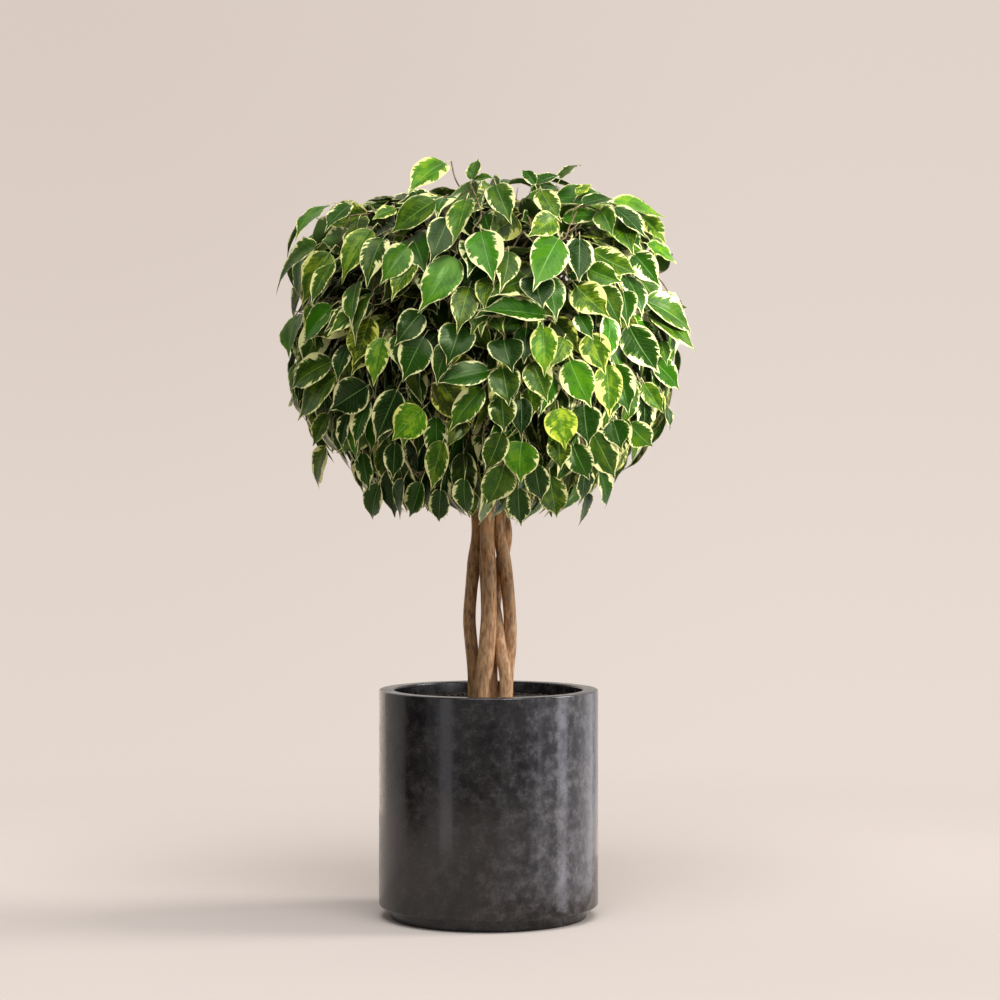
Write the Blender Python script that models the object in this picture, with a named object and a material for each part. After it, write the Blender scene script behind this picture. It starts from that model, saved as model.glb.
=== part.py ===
"""A variegated weeping fig, grown as a clipped ball on five braided stems, in a round concrete planter.

Units are metres and +Z is up. The origin is the middle of the planter's foot, on the floor. -Y is the front.
"""

import math
import random

import bmesh
import bpy
from mathutils import Matrix, Vector, noise
from mathutils.bvhtree import BVHTree

MM = 0.001
GAP = 0.3 * MM
MERGE = 0.01 * MM
FLAT_ANGLES = {"stem": math.radians(0.4), "spray": math.radians(2)}
# Edges sharper than this are shaded as edges.
SHARP_ANGLES = {"turned": math.radians(35), "grown": math.radians(50)}

# Planter: a straight cylinder on a narrower foot.
POT_RADIUS = 130 * MM
POT_HEIGHT = 269 * MM
POT_WALL = 18 * MM
POT_FLOOR = 25 * MM
POT_EDGE_ROUND = 2 * MM
POT_UNDER_ROUND = 4 * MM
FOOT_RADIUS = 116.75 * MM
FOOT_HEIGHT = 14 * MM
POT_SIDES = 48

# Soil: fills the planter to just under its rim.
SOIL_TOP = POT_HEIGHT - 15 * MM
SOIL_MOUND = 4 * MM
SOIL_LUMP = 2.2 * MM
SOIL_LUMP_SPACING = 16 * MM
SOIL_SIDES = 24
SOIL_RINGS = 4

# Stems: centre lines at these heights, read across and in depth, in millimetres.
STEM_HEIGHTS = (185, 262, 289, 319, 353, 386, 422, 458)
STEMS = (
    {
        "name": "stem_left",
        "azimuth": 198,
        "radii": (7.6 * MM, 6.8 * MM),
        "x": (-17, -17, -17.5, -20, -22.5, -20.5, -16.5, -13),
        "y": (5, 5, 4.5, 3, 1, 1, 2, 3.5),
    },
    {
        "name": "stem_front",
        "azimuth": 270,
        "radii": (9.8 * MM, 8.2 * MM),
        "x": (-8, -8, -5, -2, 0, 0, -1, -1.5),
        "y": (-10, -10.5, -12, -14, -15, -15, -14.5, -12.5),
    },
    {
        "name": "stem_right",
        "azimuth": 342,
        "radii": (7.6 * MM, 7.0 * MM),
        "x": (21, 21, 22.4, 25.3, 25.6, 23, 18.5, 12.8),
        "y": (6, 6, 7, 6, 1, -2.5, -4, -6),
    },
    {
        "name": "stem_crossing",
        "azimuth": 126,
        "radii": (7.2 * MM, 6.4 * MM),
        "x": (21.5, 21.5, 19.6, 14.5, 9.5, 3, -2.5, -3.5),
        "y": (-10, -10, -8.5, -5.5, 0, 5.5, 10, 14.5),
    },
    {
        "name": "stem_back",
        "azimuth": 54,
        "radii": (7.0 * MM, 6.4 * MM),
        "x": (4, 4, 3.5, 4, 6, 10, 16, 21),
        "y": (9, 9, 11, 14, 17.5, 19, 16, 10),
    },
)
STEM_SIDES = 8
STEM_STEPS = 2
LEADER_TIP_RADIUS = 3.8 * MM
# Inside the crown each stem leans out to its own side: height and distance from the middle, in millimetres.
LEADER = ((505, 18), (550, 27), (595, 42), (640, 58), (685, 72), (728, 80))

# Crown: the rounded box that the twig ends lie on. The leaf tips reach a little further.
CROWN_CENTRE = Vector((-3 * MM, 0, 680 * MM))
SHELL_HALF_WIDTH = 235 * MM
SHELL_RISE = 188 * MM
SHELL_DROP = 186 * MM
SHELL_TOP_POWER = 4.2
SHELL_BASE_POWER = 2.9

# A twig's course: degrees above the elevation of its start, and the share of the way out to the shell.
HANGING = ((0, 0.62), (9, 0.80), (7, 0.93), (0, 0.98), (-9, 0.98))
ARCHING = ((0, 0.50), (5, 0.72), (4, 0.90), (-4, 0.99), (-14, 0.99))
UPRIGHT = ((0, 0.50), (7, 0.68), (12, 0.82), (13, 0.93), (10, 1.0))
REACH_SPREAD = (0.92, 1.0)
# Rows of twigs: elevation of their start seen from the crown's middle and turns to each side of their stem, in
# degrees, and the height in millimetres at which their branches leave the stem.
ROWS = (
    {"elevation": -60, "spread": 4, "leaves_stem_at": 563, "turns": (0,), "course": HANGING},
    {"elevation": -34, "spread": 4, "leaves_stem_at": 600, "turns": (0, 36), "course": ARCHING},
    {"elevation": -8, "spread": 4, "leaves_stem_at": 630, "turns": (-18, 18), "course": ARCHING},
    {"elevation": 18, "spread": 4, "leaves_stem_at": 658, "turns": (0, 36), "course": ARCHING},
    {"elevation": 42, "spread": 4, "leaves_stem_at": 686, "turns": (-18, 18), "course": ARCHING},
    {"elevation": 60, "spread": 8, "leaves_stem_at": 714, "turns": (20,), "course": UPRIGHT},
)
TURN_SPREAD = 4.0
# One shoot stands out of the top on the left.
TALL_SHOOT = {"stem": "stem_left", "reach": 1.14}
BRANCH_RADII = (2.6 * MM, 1.9 * MM)
BRANCH_BEND = 0.3
FOOT_SPREAD = 6 * MM
TWIG_RADII = (1.7 * MM, 1.3 * MM)
BRANCH_SIDES = 3
TWIG_SIDES = 4
# Branches and twigs are kept clear by rounder tubes that hold the whole of them.
CLEAR_SIDES = 6

# Leaves: a slim stalk, then a blade with a broad base and a drawn-out tip.
LEAVES_ON_TWIG = 7
FIRST_LEAF = 0.30
LAST_LEAF = 0.985
# The last leaf of a twig grows almost straight on.
LAST_HAND = 0.2
# How much a leaf leans along its twig, away from it, down and out of the crown.
LEAN = {"onward": 0.25, "sideways": 0.80, "down": 0.75, "outward": 0.16}
UPRIGHT_OUTWARD_LEAN = 0.05
# The share of its pull out of or into the crown that a hanging leaf gives up.
HANG_FLATTENED = 0.9
LEAF_LENGTHS = (67 * MM, 82 * MM)
LEAF_WIDTH_SHARE = 0.56
LEAF_THICK = 1.3 * MM
LEAF_DROOP = (0.25, 0.75)
LEAF_FOLD = (0.12, 0.30)
STALK_SHARE = 0.15
LEAF_OUTLINE = ((0.40, 1.0), (0.74, 0.66))
LEAF_ROOT = 0.65 * MM
# Faces of the twig and the stalks are smaller than this, and a blade's are larger.
STALK_FACE = 80 * MM * MM
CLEARANCE = 0.6 * MM
TRIES = 60
WAY_SPREAD = 0.14
WAY_SPREAD_STEP = 0.02
FACING_SPREAD = 0.2
ROLL_SPREAD = 0.25
SMALLER = 0.86
SEED = 11

BARK = ("bark", (0.33, 0.22, 0.13), 0.75)
FOLIAGE = ("foliage", (0.13, 0.30, 0.09), 0.42)
CONCRETE = ("concrete", (0.09, 0.085, 0.085), 0.35)
EARTH = ("soil", (0.05, 0.035, 0.025), 0.95)


def clear_scene():
    for obj in list(bpy.data.objects):
        bpy.data.objects.remove(obj)


def material(look):
    name, colour, roughness = look
    made = bpy.data.materials.get(name) or bpy.data.materials.new(name)
    made.diffuse_color = (*colour, 1)
    made.use_nodes = True
    shader = made.node_tree.nodes["Principled BSDF"]
    shader.inputs["Base Color"].default_value = (*colour, 1)
    shader.inputs["Roughness"].default_value = roughness
    shader.inputs["Metallic"].default_value = 0
    return made


def add_object(name, vertices, faces, look):
    mesh = bpy.data.meshes.new(name)
    mesh.from_pydata([tuple(v) for v in vertices], [], faces)
    mesh.materials.append(material(look))
    obj = bpy.data.objects.new(name, mesh)
    bpy.context.scene.collection.objects.link(obj)
    return obj


def combined(obj, others, operation):
    """Joins the others to obj, or cuts them from it, and removes them."""
    group = bpy.data.collections.new(f"{obj.name}_others")
    bpy.context.scene.collection.children.link(group)
    for other in others:
        bpy.context.scene.collection.objects.unlink(other)
        group.objects.link(other)
    boolean = obj.modifiers.new("combine", "BOOLEAN")
    boolean.operand_type = "COLLECTION"
    boolean.collection = group
    boolean.operation = operation
    boolean.solver = "EXACT"
    graph = bpy.context.evaluated_depsgraph_get()
    mesh = bpy.data.meshes.new_from_object(obj.evaluated_get(graph))
    obj.modifiers.clear()
    obj.data = mesh
    for other in list(group.objects):
        bpy.data.objects.remove(other)
    bpy.data.collections.remove(group)
    return obj


def simplified(obj, angle, largest=1.0):
    """Merges what lies flat, among faces under this area in square metres, then makes triangles."""
    bm = bmesh.new()
    bm.from_mesh(obj.data)
    edges = [edge for edge in bm.edges if all(face.calc_area() < largest for face in edge.link_faces)]
    corners = list({vertex for edge in edges for vertex in edge.verts})
    bmesh.ops.dissolve_limit(bm, angle_limit=angle, verts=corners, edges=edges)
    bmesh.ops.triangulate(bm, faces=bm.faces)
    bm.to_mesh(obj.data)
    bm.free()
    obj.data.shade_smooth()
    obj.data.set_sharp_from_angle(angle=SHARP_ANGLES["grown"])
    return obj


def lathe(name, profile, sides, look):
    """Turns an outline of (radius, height) points, from the axis round to the axis, into a solid."""
    bm = bmesh.new()
    points = [bm.verts.new((radius, 0, height)) for radius, height in profile]
    edges = [bm.edges.new(pair) for pair in zip(points, points[1:])]
    middle, up = (0, 0, 0), (0, 0, 1)
    bmesh.ops.spin(bm, geom=points + edges, cent=middle, axis=up, angle=math.tau, steps=sides)
    bmesh.ops.remove_doubles(bm, verts=bm.verts, dist=MERGE)
    bmesh.ops.recalc_face_normals(bm, faces=bm.faces)
    mesh = bpy.data.meshes.new(name)
    bm.to_mesh(mesh)
    bm.free()
    mesh.materials.append(material(look))
    mesh.shade_smooth()
    mesh.set_sharp_from_angle(angle=SHARP_ANGLES["turned"])
    obj = bpy.data.objects.new(name, mesh)
    bpy.context.scene.collection.objects.link(obj)
    return obj


def smooth_path(points, steps):
    """Points on a Catmull-Rom curve through the given ones, with so many steps between each pair."""
    ends = [2 * points[0] - points[1], *points, 2 * points[-1] - points[-2]]
    path = []
    for before, start, end, after in zip(ends, ends[1:], ends[2:], ends[3:]):
        for step in range(steps):
            t = step / steps
            path.append(
                0.5
                * (
                    2 * start
                    + (end - before) * t
                    + (2 * before - 5 * start + 4 * end - after) * t * t
                    + (3 * start - before - 3 * end + after) * t * t * t
                )
            )
    return [*path, points[-1].copy()]


def tube(path, radii, sides):
    """Vertices and faces of a flat-ended tube. The radii are one a point, or the two at the ends."""
    vertices, faces = [], []
    across = Vector((1, 0, 0))
    if len(radii) != len(path):
        first, last = radii
        radii = [first + (last - first) * i / (len(path) - 1) for i in range(len(path))]
    for i, (point, radius) in enumerate(zip(path, radii)):
        along = (path[min(i + 1, len(path) - 1)] - path[max(i - 1, 0)]).normalized()
        across = (across - across.dot(along) * along).normalized()
        third = along.cross(across)
        for side in range(sides):
            angle = math.tau * side / sides
            vertices.append(point + radius * (math.cos(angle) * across + math.sin(angle) * third))
    for i in range(len(path) - 1):
        for side in range(sides):
            a, b = i * sides + side, i * sides + (side + 1) % sides
            faces.append((a, b, b + sides, a + sides))
    faces.append(tuple(range(sides - 1, -1, -1)))
    faces.append(tuple(range(len(vertices) - sides, len(vertices))))
    return vertices, faces


def superellipse(elevation, half_width, half_height, power):
    across = abs(math.cos(elevation)) / half_width
    upward = abs(math.sin(elevation)) / half_height
    return (across**power + upward**power) ** (-1 / power)


def shell_point(elevation, azimuth, share):
    """The point in this direction, in degrees, at this share of the way out to the twigs' shell."""
    e, a = math.radians(elevation), math.radians(azimuth)
    if e >= 0:
        reach = superellipse(e, SHELL_HALF_WIDTH, SHELL_RISE, SHELL_TOP_POWER)
    else:
        reach = superellipse(e, SHELL_HALF_WIDTH, SHELL_DROP, SHELL_BASE_POWER)
    way = Vector((math.cos(e) * math.cos(a), math.cos(e) * math.sin(a), math.sin(e)))
    return CROWN_CENTRE + way * reach * share


def stem_path(stem):
    """A stem's centre line: from its end in the soil, up the braid and out to its side of the crown."""
    points = [Vector((x, y, z)) * MM for x, y, z in zip(stem["x"], stem["y"], STEM_HEIGHTS)]
    a = math.radians(stem["azimuth"])
    out = [Vector((r * math.cos(a), r * math.sin(a), z)) * MM for z, r in LEADER]
    path = smooth_path([*points, *out], STEM_STEPS)
    crown = STEM_STEPS * (len(points) - 1)
    return path[:crown] + path[crown::STEM_STEPS]


def stem_radii(stem, path):
    """The stem keeps its girth up to the crown and tapers inside it."""
    low, high = stem["radii"]
    crown, top = STEM_HEIGHTS[-1] * MM, path[-1].z
    radii = []
    for point in path:
        if point.z < crown:
            share = (point.z - path[0].z) / (crown - path[0].z)
            radii.append(low + (high - low) * share)
        else:
            share = (point.z - crown) / (top - crown)
            radii.append(high + (LEADER_TIP_RADIUS - high) * share)
    return radii


def point_at_height(path, height):
    for low, high in zip(path, path[1:]):
        if low.z <= height <= high.z:
            return low.lerp(high, (height - low.z) / (high.z - low.z))
    return path[-1].copy()


def widened(radii):
    return [radius + CLEARANCE for radius in radii]


def tree_of(vertices, faces):
    return BVHTree.FromPolygons([tuple(v) for v in vertices], faces)


class Obstacles:
    """Shapes that a new one has to stay clear of, each kept with its owner's name."""

    def __init__(self):
        self.found = []

    def add(self, owner, vertices, faces):
        middle = sum(vertices, Vector()) / len(vertices)
        reach = max((v - middle).length for v in vertices)
        self.found.append((owner, middle, reach, tree_of(vertices, faces)))

    def meets(self, owner, vertices, faces):
        """Whether the shape meets one that isn't its owner's."""
        middle = sum(vertices, Vector()) / len(vertices)
        reach = max((v - middle).length for v in vertices)
        tree = tree_of(vertices, faces)
        near = [it for it in self.found if it[0] != owner and (it[1] - middle).length < reach + it[2]]
        return any(tree.overlap(it[3]) for it in near)


def grown_twig(stem, row, turn, draw):
    """A twig in this row and direction, and the branch that carries it from its stem."""
    azimuth = stem["azimuth"] + turn + draw.uniform(-TURN_SPREAD, TURN_SPREAD)
    elevation = row["elevation"] + draw.uniform(-row["spread"], row["spread"])
    reach = draw.uniform(*REACH_SPREAD)
    upright = row["course"] is UPRIGHT
    if upright and stem["name"] == TALL_SHOOT["stem"]:
        reach = TALL_SHOOT["reach"]
    path = [shell_point(elevation + rise, azimuth, share * reach) for rise, share in row["course"]]
    height = row["leaves_stem_at"] * MM + draw.uniform(-FOOT_SPREAD, FOOT_SPREAD)
    foot = point_at_height(stem_path(stem), height)
    lead = (path[0] - path[1]).normalized()
    bend = path[0] + lead * (path[0] - foot).length * BRANCH_BEND
    branch = [foot, bend, path[0] + lead * GAP]
    return {"stem": stem["name"], "path": path, "branch": branch, "upright": upright}


def twig_plan():
    """Every twig with its branch, each drawn again until it is clear of those before it."""
    draw = random.Random(SEED)
    obstacles = Obstacles()
    for stem in STEMS:
        path = stem_path(stem)
        obstacles.add(stem["name"], *tube(path, widened(stem_radii(stem, path)), STEM_SIDES))
    plan = []
    for row in ROWS:
        for stem in STEMS:
            for turn in row["turns"]:
                for _ in range(TRIES):
                    twig = grown_twig(stem, row, turn, draw)
                    branch = tube(twig["branch"], widened(BRANCH_RADII), CLEAR_SIDES)
                    stalk = tube(twig["path"], widened(TWIG_RADII), CLEAR_SIDES)
                    if not obstacles.meets(stem["name"], *branch) and not obstacles.meets("", *stalk):
                        break
                else:
                    raise ValueError(f"no clear place for a twig of {stem['name']}")
                obstacles.add(stem["name"], *branch)
                obstacles.add("twig", *stalk)
                twig["name"] = f"spray_{len(plan) + 1:02d}"
                plan.append(twig)
    return plan


def along_path(path, share):
    """The point and direction at this share of a path's length."""
    lengths = [(b - a).length for a, b in zip(path, path[1:])]
    left = share * sum(lengths)
    for (a, b), length in zip(zip(path, path[1:]), lengths):
        if left <= length or b is path[-1]:
            return a.lerp(b, min(1, left / length)), (b - a).normalized()
        left -= length


def leaf_shape(leaf, grow=0.0, stalk=True):
    """Vertices and faces of a leaf: a three-sided stalk, then a thin blade folded along its rib."""
    length, droop, fold = leaf["length"], leaf["droop"], leaf["fold"]
    side, along, up, foot = leaf["frame"]

    def spot(u, across, lift):
        forward = length * math.sin(droop * u) / droop
        drop = length * (1 - math.cos(droop * u)) / droop
        return foot + side * across + along * forward + up * (lift - drop)

    def stalk_ring(u):
        wide = LEAF_ROOT + grow
        return [spot(u, -wide, wide / 2), spot(u, wide, wide / 2), spot(u, 0, -wide)]

    def blade_ring(u, share):
        half = share * length * LEAF_WIDTH_SHARE / 2
        wide, deep = half + grow, LEAF_THICK / 2 + grow
        raised = half * math.tan(fold)
        return [spot(u, -wide, raised), spot(u, wide, raised), spot(u, 0, -deep), spot(u, 0, deep)]

    vertices = [*(stalk_ring(0) if stalk else []), *stalk_ring(STALK_SHARE)]
    neck = len(vertices) - 3
    faces = [(0, 2, 1)]
    for k in range(3 if stalk else 0):
        a, b = k, (k + 1) % 3
        faces += [(a, b, b + 3), (a, b + 3, a + 3)]
    for u, share in LEAF_OUTLINE:
        vertices += blade_ring(u, share)
    left, right, keel, ring = neck, neck + 1, neck + 2, neck + 3
    faces += [(left, right, ring + 3), (left, ring + 3, ring), (right, ring + 1, ring + 3)]
    faces += [(keel, ring + 2, right), (right, ring + 2, ring + 1)]
    faces += [(left, ring, ring + 2), (left, ring + 2, keel)]
    tip = len(vertices)
    vertices.append(spot(1, 0, 0))
    # Both faces of the blade are split alike, so they never cross.
    for ring in range(neck + 3, tip - 4, 4):
        for rib in (ring + 2, ring + 3):
            halves = [(ring, rib, rib + 4), (ring, rib + 4, ring + 4)]
            halves += [(ring + 1, rib + 4, rib), (ring + 1, ring + 5, rib + 4)]
            faces += [face[::-1] for face in halves] if rib == ring + 2 else halves
    ring = tip - 4
    faces += [(ring, ring + 3, tip), (ring + 3, ring + 1, tip)]
    faces += [(ring + 1, ring + 2, tip), (ring + 2, ring, tip)]
    return vertices, faces


def leaf_frame(point, along, outward, roll):
    """The leaf's place: its stalk's foot, its direction, and its upper face turned outward and then rolled."""
    up = (outward - outward.dot(along) * along).normalized()
    up = Matrix.Rotation(roll, 3, along) @ up
    return along.cross(up), along, up, point


def leaf_way(twig, point, forward, hand):
    """The direction in which a leaf grows from its twig: to one side, onward, and down by its own weight."""
    outward = (point - CROWN_CENTRE).normalized()
    sideways = outward.cross(forward).normalized() * hand
    down = Vector((0, 0, -1))
    hang = down - down.dot(outward) * outward * HANG_FLATTENED
    way = LEAN["onward"] * forward + LEAN["sideways"] * sideways + LEAN["down"] * hang
    way += (UPRIGHT_OUTWARD_LEAN if twig["upright"] else LEAN["outward"]) * outward
    return way.normalized(), outward


def leaves_of(twig, draw):
    """The leaves that the twig would bear if nothing were in their way, alternating from side to side."""
    found = []
    for number in range(LEAVES_ON_TWIG):
        share = FIRST_LEAF + (1 - FIRST_LEAF) * number / (LEAVES_ON_TWIG - 1)
        point, forward = along_path(twig["path"], min(share, LAST_LEAF))
        hand = 1 if number % 2 else -1
        if number == LEAVES_ON_TWIG - 1:
            hand *= LAST_HAND
        way, outward = leaf_way(twig, point, forward, hand)
        found.append(
            {
                "point": point,
                "way": way,
                "outward": outward,
                "length": draw.uniform(*LEAF_LENGTHS),
                "droop": draw.uniform(*LEAF_DROOP),
                "fold": draw.uniform(*LEAF_FOLD),
            }
        )
    return found


def shaken(direction, spread, draw):
    return (direction + Vector([draw.gauss(0, spread) for _ in range(3)])).normalized()


def turned(leaf, draw, attempt):
    """The leaf turned at random about its root, further with each attempt, and in the end made smaller."""
    way = shaken(leaf["way"], WAY_SPREAD + WAY_SPREAD_STEP * attempt, draw)
    facing = shaken(leaf["outward"], FACING_SPREAD, draw)
    made = dict(leaf)
    made["frame"] = leaf_frame(leaf["point"], way, facing, draw.gauss(0, ROLL_SPREAD))
    if attempt > TRIES // 2:
        made["length"] = leaf["length"] * SMALLER
    return made


def place_leaves(plan):
    """Gives each twig its leaves, each turned clear of every other leaf, twig, branch and stem."""
    obstacles = Obstacles()
    for stem in STEMS:
        path = stem_path(stem)
        obstacles.add("stem", *tube(path, widened(stem_radii(stem, path)), STEM_SIDES))
    for twig in plan:
        obstacles.add("branch", *tube(twig["branch"], widened(BRANCH_RADII), CLEAR_SIDES))
        obstacles.add(twig["name"], *tube(twig["path"], widened(TWIG_RADII), CLEAR_SIDES))
        twig["leaves"] = []
    draw = random.Random(SEED + 1)
    wanted = [(twig, leaf) for twig in plan for leaf in leaves_of(twig, draw)]
    for twig, leaf in wanted:
        own_twig = tree_of(*tube(twig["path"], widened(TWIG_RADII), CLEAR_SIDES))
        for attempt in range(TRIES):
            made = turned(leaf, draw, attempt)
            if tree_of(*leaf_shape(made, CLEARANCE, stalk=False)).overlap(own_twig):
                continue
            around = leaf_shape(made, CLEARANCE)
            if not obstacles.meets(twig["name"], *around):
                obstacles.add("leaf", *around)
                twig["leaves"].append(made)
                break
    return plan


def build_pot():
    inner = POT_RADIUS - POT_WALL
    profile = (
        (0, 0),
        (FOOT_RADIUS, 0),
        (FOOT_RADIUS, FOOT_HEIGHT),
        (POT_RADIUS - POT_UNDER_ROUND, FOOT_HEIGHT),
        (POT_RADIUS, FOOT_HEIGHT + POT_UNDER_ROUND),
        (POT_RADIUS, POT_HEIGHT - POT_EDGE_ROUND),
        (POT_RADIUS - POT_EDGE_ROUND, POT_HEIGHT),
        (inner + POT_EDGE_ROUND, POT_HEIGHT),
        (inner, POT_HEIGHT - POT_EDGE_ROUND),
        (inner, POT_FLOOR),
        (0, POT_FLOOR),
    )
    return lathe("pot", profile, POT_SIDES, CONCRETE)


def build_soil():
    """The soil's top is lumpy and slightly mounded, with a plain hole for each stem."""
    # A straight side of the turned wall lies nearer the axis than its corners.
    edge = (POT_RADIUS - POT_WALL) * math.cos(math.pi / POT_SIDES) - GAP
    bottom = POT_FLOOR + GAP
    top = [
        (edge * (1 - k / SOIL_RINGS), SOIL_TOP + SOIL_MOUND * math.sin(math.pi / 2 * k / SOIL_RINGS))
        for k in range(SOIL_RINGS + 1)
    ]
    soil = lathe("soil", [(0, bottom), (edge, bottom), *top], SOIL_SIDES, EARTH)
    for vertex in soil.data.vertices:
        if vertex.co.z > SOIL_TOP + GAP:
            vertex.co.z += SOIL_LUMP * noise.noise(vertex.co / SOIL_LUMP_SPACING)
    holes = []
    for stem in STEMS:
        path = stem_path(stem)[: STEM_STEPS + 2]
        path[0] = path[0] + (path[0] - path[1]).normalized() * GAP
        radii = [radius + GAP for radius in stem_radii(stem, stem_path(stem))][: len(path)]
        holes.append(add_object(f"hole_{stem['name']}", *tube(path, radii, STEM_SIDES), EARTH))
    return combined(soil, holes, "DIFFERENCE")


def build_stem(stem, plan):
    """A stem with its own branches, as it grew in one piece."""
    path = stem_path(stem)
    trunk = add_object(stem["name"], *tube(path, stem_radii(stem, path), STEM_SIDES), BARK)
    limbs = []
    for twig in plan:
        if twig["stem"] == stem["name"]:
            shape = tube(twig["branch"], BRANCH_RADII, BRANCH_SIDES)
            limbs.append(add_object(f"{twig['name']}_branch", *shape, BARK))
    return simplified(combined(trunk, limbs, "UNION"), FLAT_ANGLES["stem"])


def build_spray(twig):
    """A green twig with its leaves."""
    stalk = add_object(twig["name"], *tube(twig["path"], TWIG_RADII, TWIG_SIDES), FOLIAGE)
    leaves = [add_object(f"{twig['name']}_leaf", *leaf_shape(leaf), FOLIAGE) for leaf in twig["leaves"]]
    return simplified(combined(stalk, leaves, "UNION"), FLAT_ANGLES["spray"], STALK_FACE)


def main():
    clear_scene()
    plan = place_leaves(twig_plan())
    build_pot()
    build_soil()
    for stem in STEMS:
        build_stem(stem, plan)
    for twig in plan:
        build_spray(twig)


main()
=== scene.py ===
"""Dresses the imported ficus: a full crown of variegated leaves, bark, planter, soil, camera and light.

Units are metres in the part's own frame: +Z is up, -Y is the front and the origin is the middle of the foot.
"""

import math
import random
from types import SimpleNamespace

import bmesh
import bpy
import numpy as np
from mathutils import Matrix, Vector, noise
from mathutils.bvhtree import BVHTree


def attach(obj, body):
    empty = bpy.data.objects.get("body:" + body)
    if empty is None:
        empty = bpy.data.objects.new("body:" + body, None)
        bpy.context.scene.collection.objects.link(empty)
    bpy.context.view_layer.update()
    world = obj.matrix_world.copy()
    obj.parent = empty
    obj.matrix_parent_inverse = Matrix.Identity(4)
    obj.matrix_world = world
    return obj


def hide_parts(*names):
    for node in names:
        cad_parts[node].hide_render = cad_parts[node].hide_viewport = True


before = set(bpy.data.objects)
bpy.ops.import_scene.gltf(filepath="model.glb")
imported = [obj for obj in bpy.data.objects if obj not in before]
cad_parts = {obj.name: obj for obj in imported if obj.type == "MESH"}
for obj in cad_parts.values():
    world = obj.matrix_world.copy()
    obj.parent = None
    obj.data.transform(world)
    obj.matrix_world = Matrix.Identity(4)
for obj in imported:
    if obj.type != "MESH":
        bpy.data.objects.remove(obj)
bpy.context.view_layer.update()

MM = 0.001
GAP = 0.3 * MM

# Planter and soil, as in the part, and how finely they are drawn.
POT_RADIUS = 130 * MM
POT_HEIGHT = 269 * MM
POT_WALL = 18 * MM
POT_FLOOR = 25 * MM
FOOT_RADIUS = 116.75 * MM
FOOT_HEIGHT = 14 * MM
SOIL_TOP = POT_HEIGHT - 15 * MM
SOIL_MOUND = 4 * MM
SOIL_LUMPS = {"size": 13 * MM, "height": 1.5 * MM}
SOIL_RINGS = 60
SOIL_SIDES = 160
POT_SIDES = 192

# Stems, as in the part: centre lines at these heights, read across and in depth, in millimetres.
STEM_HEIGHTS = (185, 262, 289, 319, 353, 386, 422, 458)
STEMS = (
    {
        "name": "stem_left",
        "azimuth": 198,
        "radii": (7.6 * MM, 6.8 * MM),
        "x": (-17, -17, -17.5, -20, -22.5, -20.5, -16.5, -13),
        "y": (5, 5, 4.5, 3, 1, 1, 2, 3.5),
    },
    {
        "name": "stem_front",
        "azimuth": 270,
        "radii": (9.8 * MM, 8.2 * MM),
        "x": (-8, -8, -5, -2, 0, 0, -1, -1.5),
        "y": (-10, -10.5, -12, -14, -15, -15, -14.5, -12.5),
    },
    {
        "name": "stem_right",
        "azimuth": 342,
        "radii": (7.6 * MM, 7.0 * MM),
        "x": (21, 21, 22.4, 25.3, 25.6, 23, 18.5, 12.8),
        "y": (6, 6, 7, 6, 1, -2.5, -4, -6),
    },
    {
        "name": "stem_crossing",
        "azimuth": 126,
        "radii": (7.2 * MM, 6.4 * MM),
        "x": (21.5, 21.5, 19.6, 14.5, 9.5, 3, -2.5, -3.5),
        "y": (-10, -10, -8.5, -5.5, 0, 5.5, 10, 14.5),
    },
    {
        "name": "stem_back",
        "azimuth": 54,
        "radii": (7.0 * MM, 6.4 * MM),
        "x": (4, 4, 3.5, 4, 6, 10, 16, 21),
        "y": (9, 9, 11, 14, 17.5, 19, 16, 10),
    },
)
STEM_SIDES = 8
STEM_STEPS = 2
LEADER_TIP_RADIUS = 3.8 * MM
LEADER = ((505, 18), (550, 27), (595, 42), (640, 58), (685, 72), (728, 80))

# The drawn bark: its steps and sides, and how much it swells, each with the height over which it does.
BARK_STEPS = 7
BARK_SIDES = 20
BRANCH_SIDES = 8
BRANCH_DRAWN_RADIUS = 3.0 * MM
SWELL = 1.07
KNOTS = (0.05, 34 * MM)
RIDGES = (0.09, 60 * MM)
FLARE = (0.08, 38 * MM)
COLLAR = (0.14, 32 * MM)
COLLAR_AT = 416 * MM

# Crown, twigs and leaves, as in the part.
CROWN_CENTRE = Vector((-3 * MM, 0, 680 * MM))
SHELL_HALF_WIDTH = 235 * MM
SHELL_RISE = 188 * MM
SHELL_DROP = 186 * MM
SHELL_TOP_POWER = 4.2
SHELL_BASE_POWER = 2.9
HANGING = ((0, 0.62), (9, 0.80), (7, 0.93), (0, 0.98), (-9, 0.98))
ARCHING = ((0, 0.50), (5, 0.72), (4, 0.90), (-4, 0.99), (-14, 0.99))
UPRIGHT = ((0, 0.50), (7, 0.68), (12, 0.82), (13, 0.93), (10, 1.0))
REACH_SPREAD = (0.92, 1.0)
ROWS = (
    {"elevation": -60, "spread": 4, "leaves_stem_at": 563, "turns": (0,), "course": HANGING},
    {"elevation": -34, "spread": 4, "leaves_stem_at": 600, "turns": (0, 36), "course": ARCHING},
    {"elevation": -8, "spread": 4, "leaves_stem_at": 630, "turns": (-18, 18), "course": ARCHING},
    {"elevation": 18, "spread": 4, "leaves_stem_at": 658, "turns": (0, 36), "course": ARCHING},
    {"elevation": 42, "spread": 4, "leaves_stem_at": 686, "turns": (-18, 18), "course": ARCHING},
    {"elevation": 60, "spread": 8, "leaves_stem_at": 714, "turns": (20,), "course": UPRIGHT},
)
TURN_SPREAD = 4.0
TALL_SHOOT = {"stem": "stem_left", "reach": 1.14}
BRANCH_RADII = (2.6 * MM, 1.9 * MM)
BRANCH_BEND = 0.3
FOOT_SPREAD = 6 * MM
TWIG_RADII = (1.7 * MM, 1.3 * MM)
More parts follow.
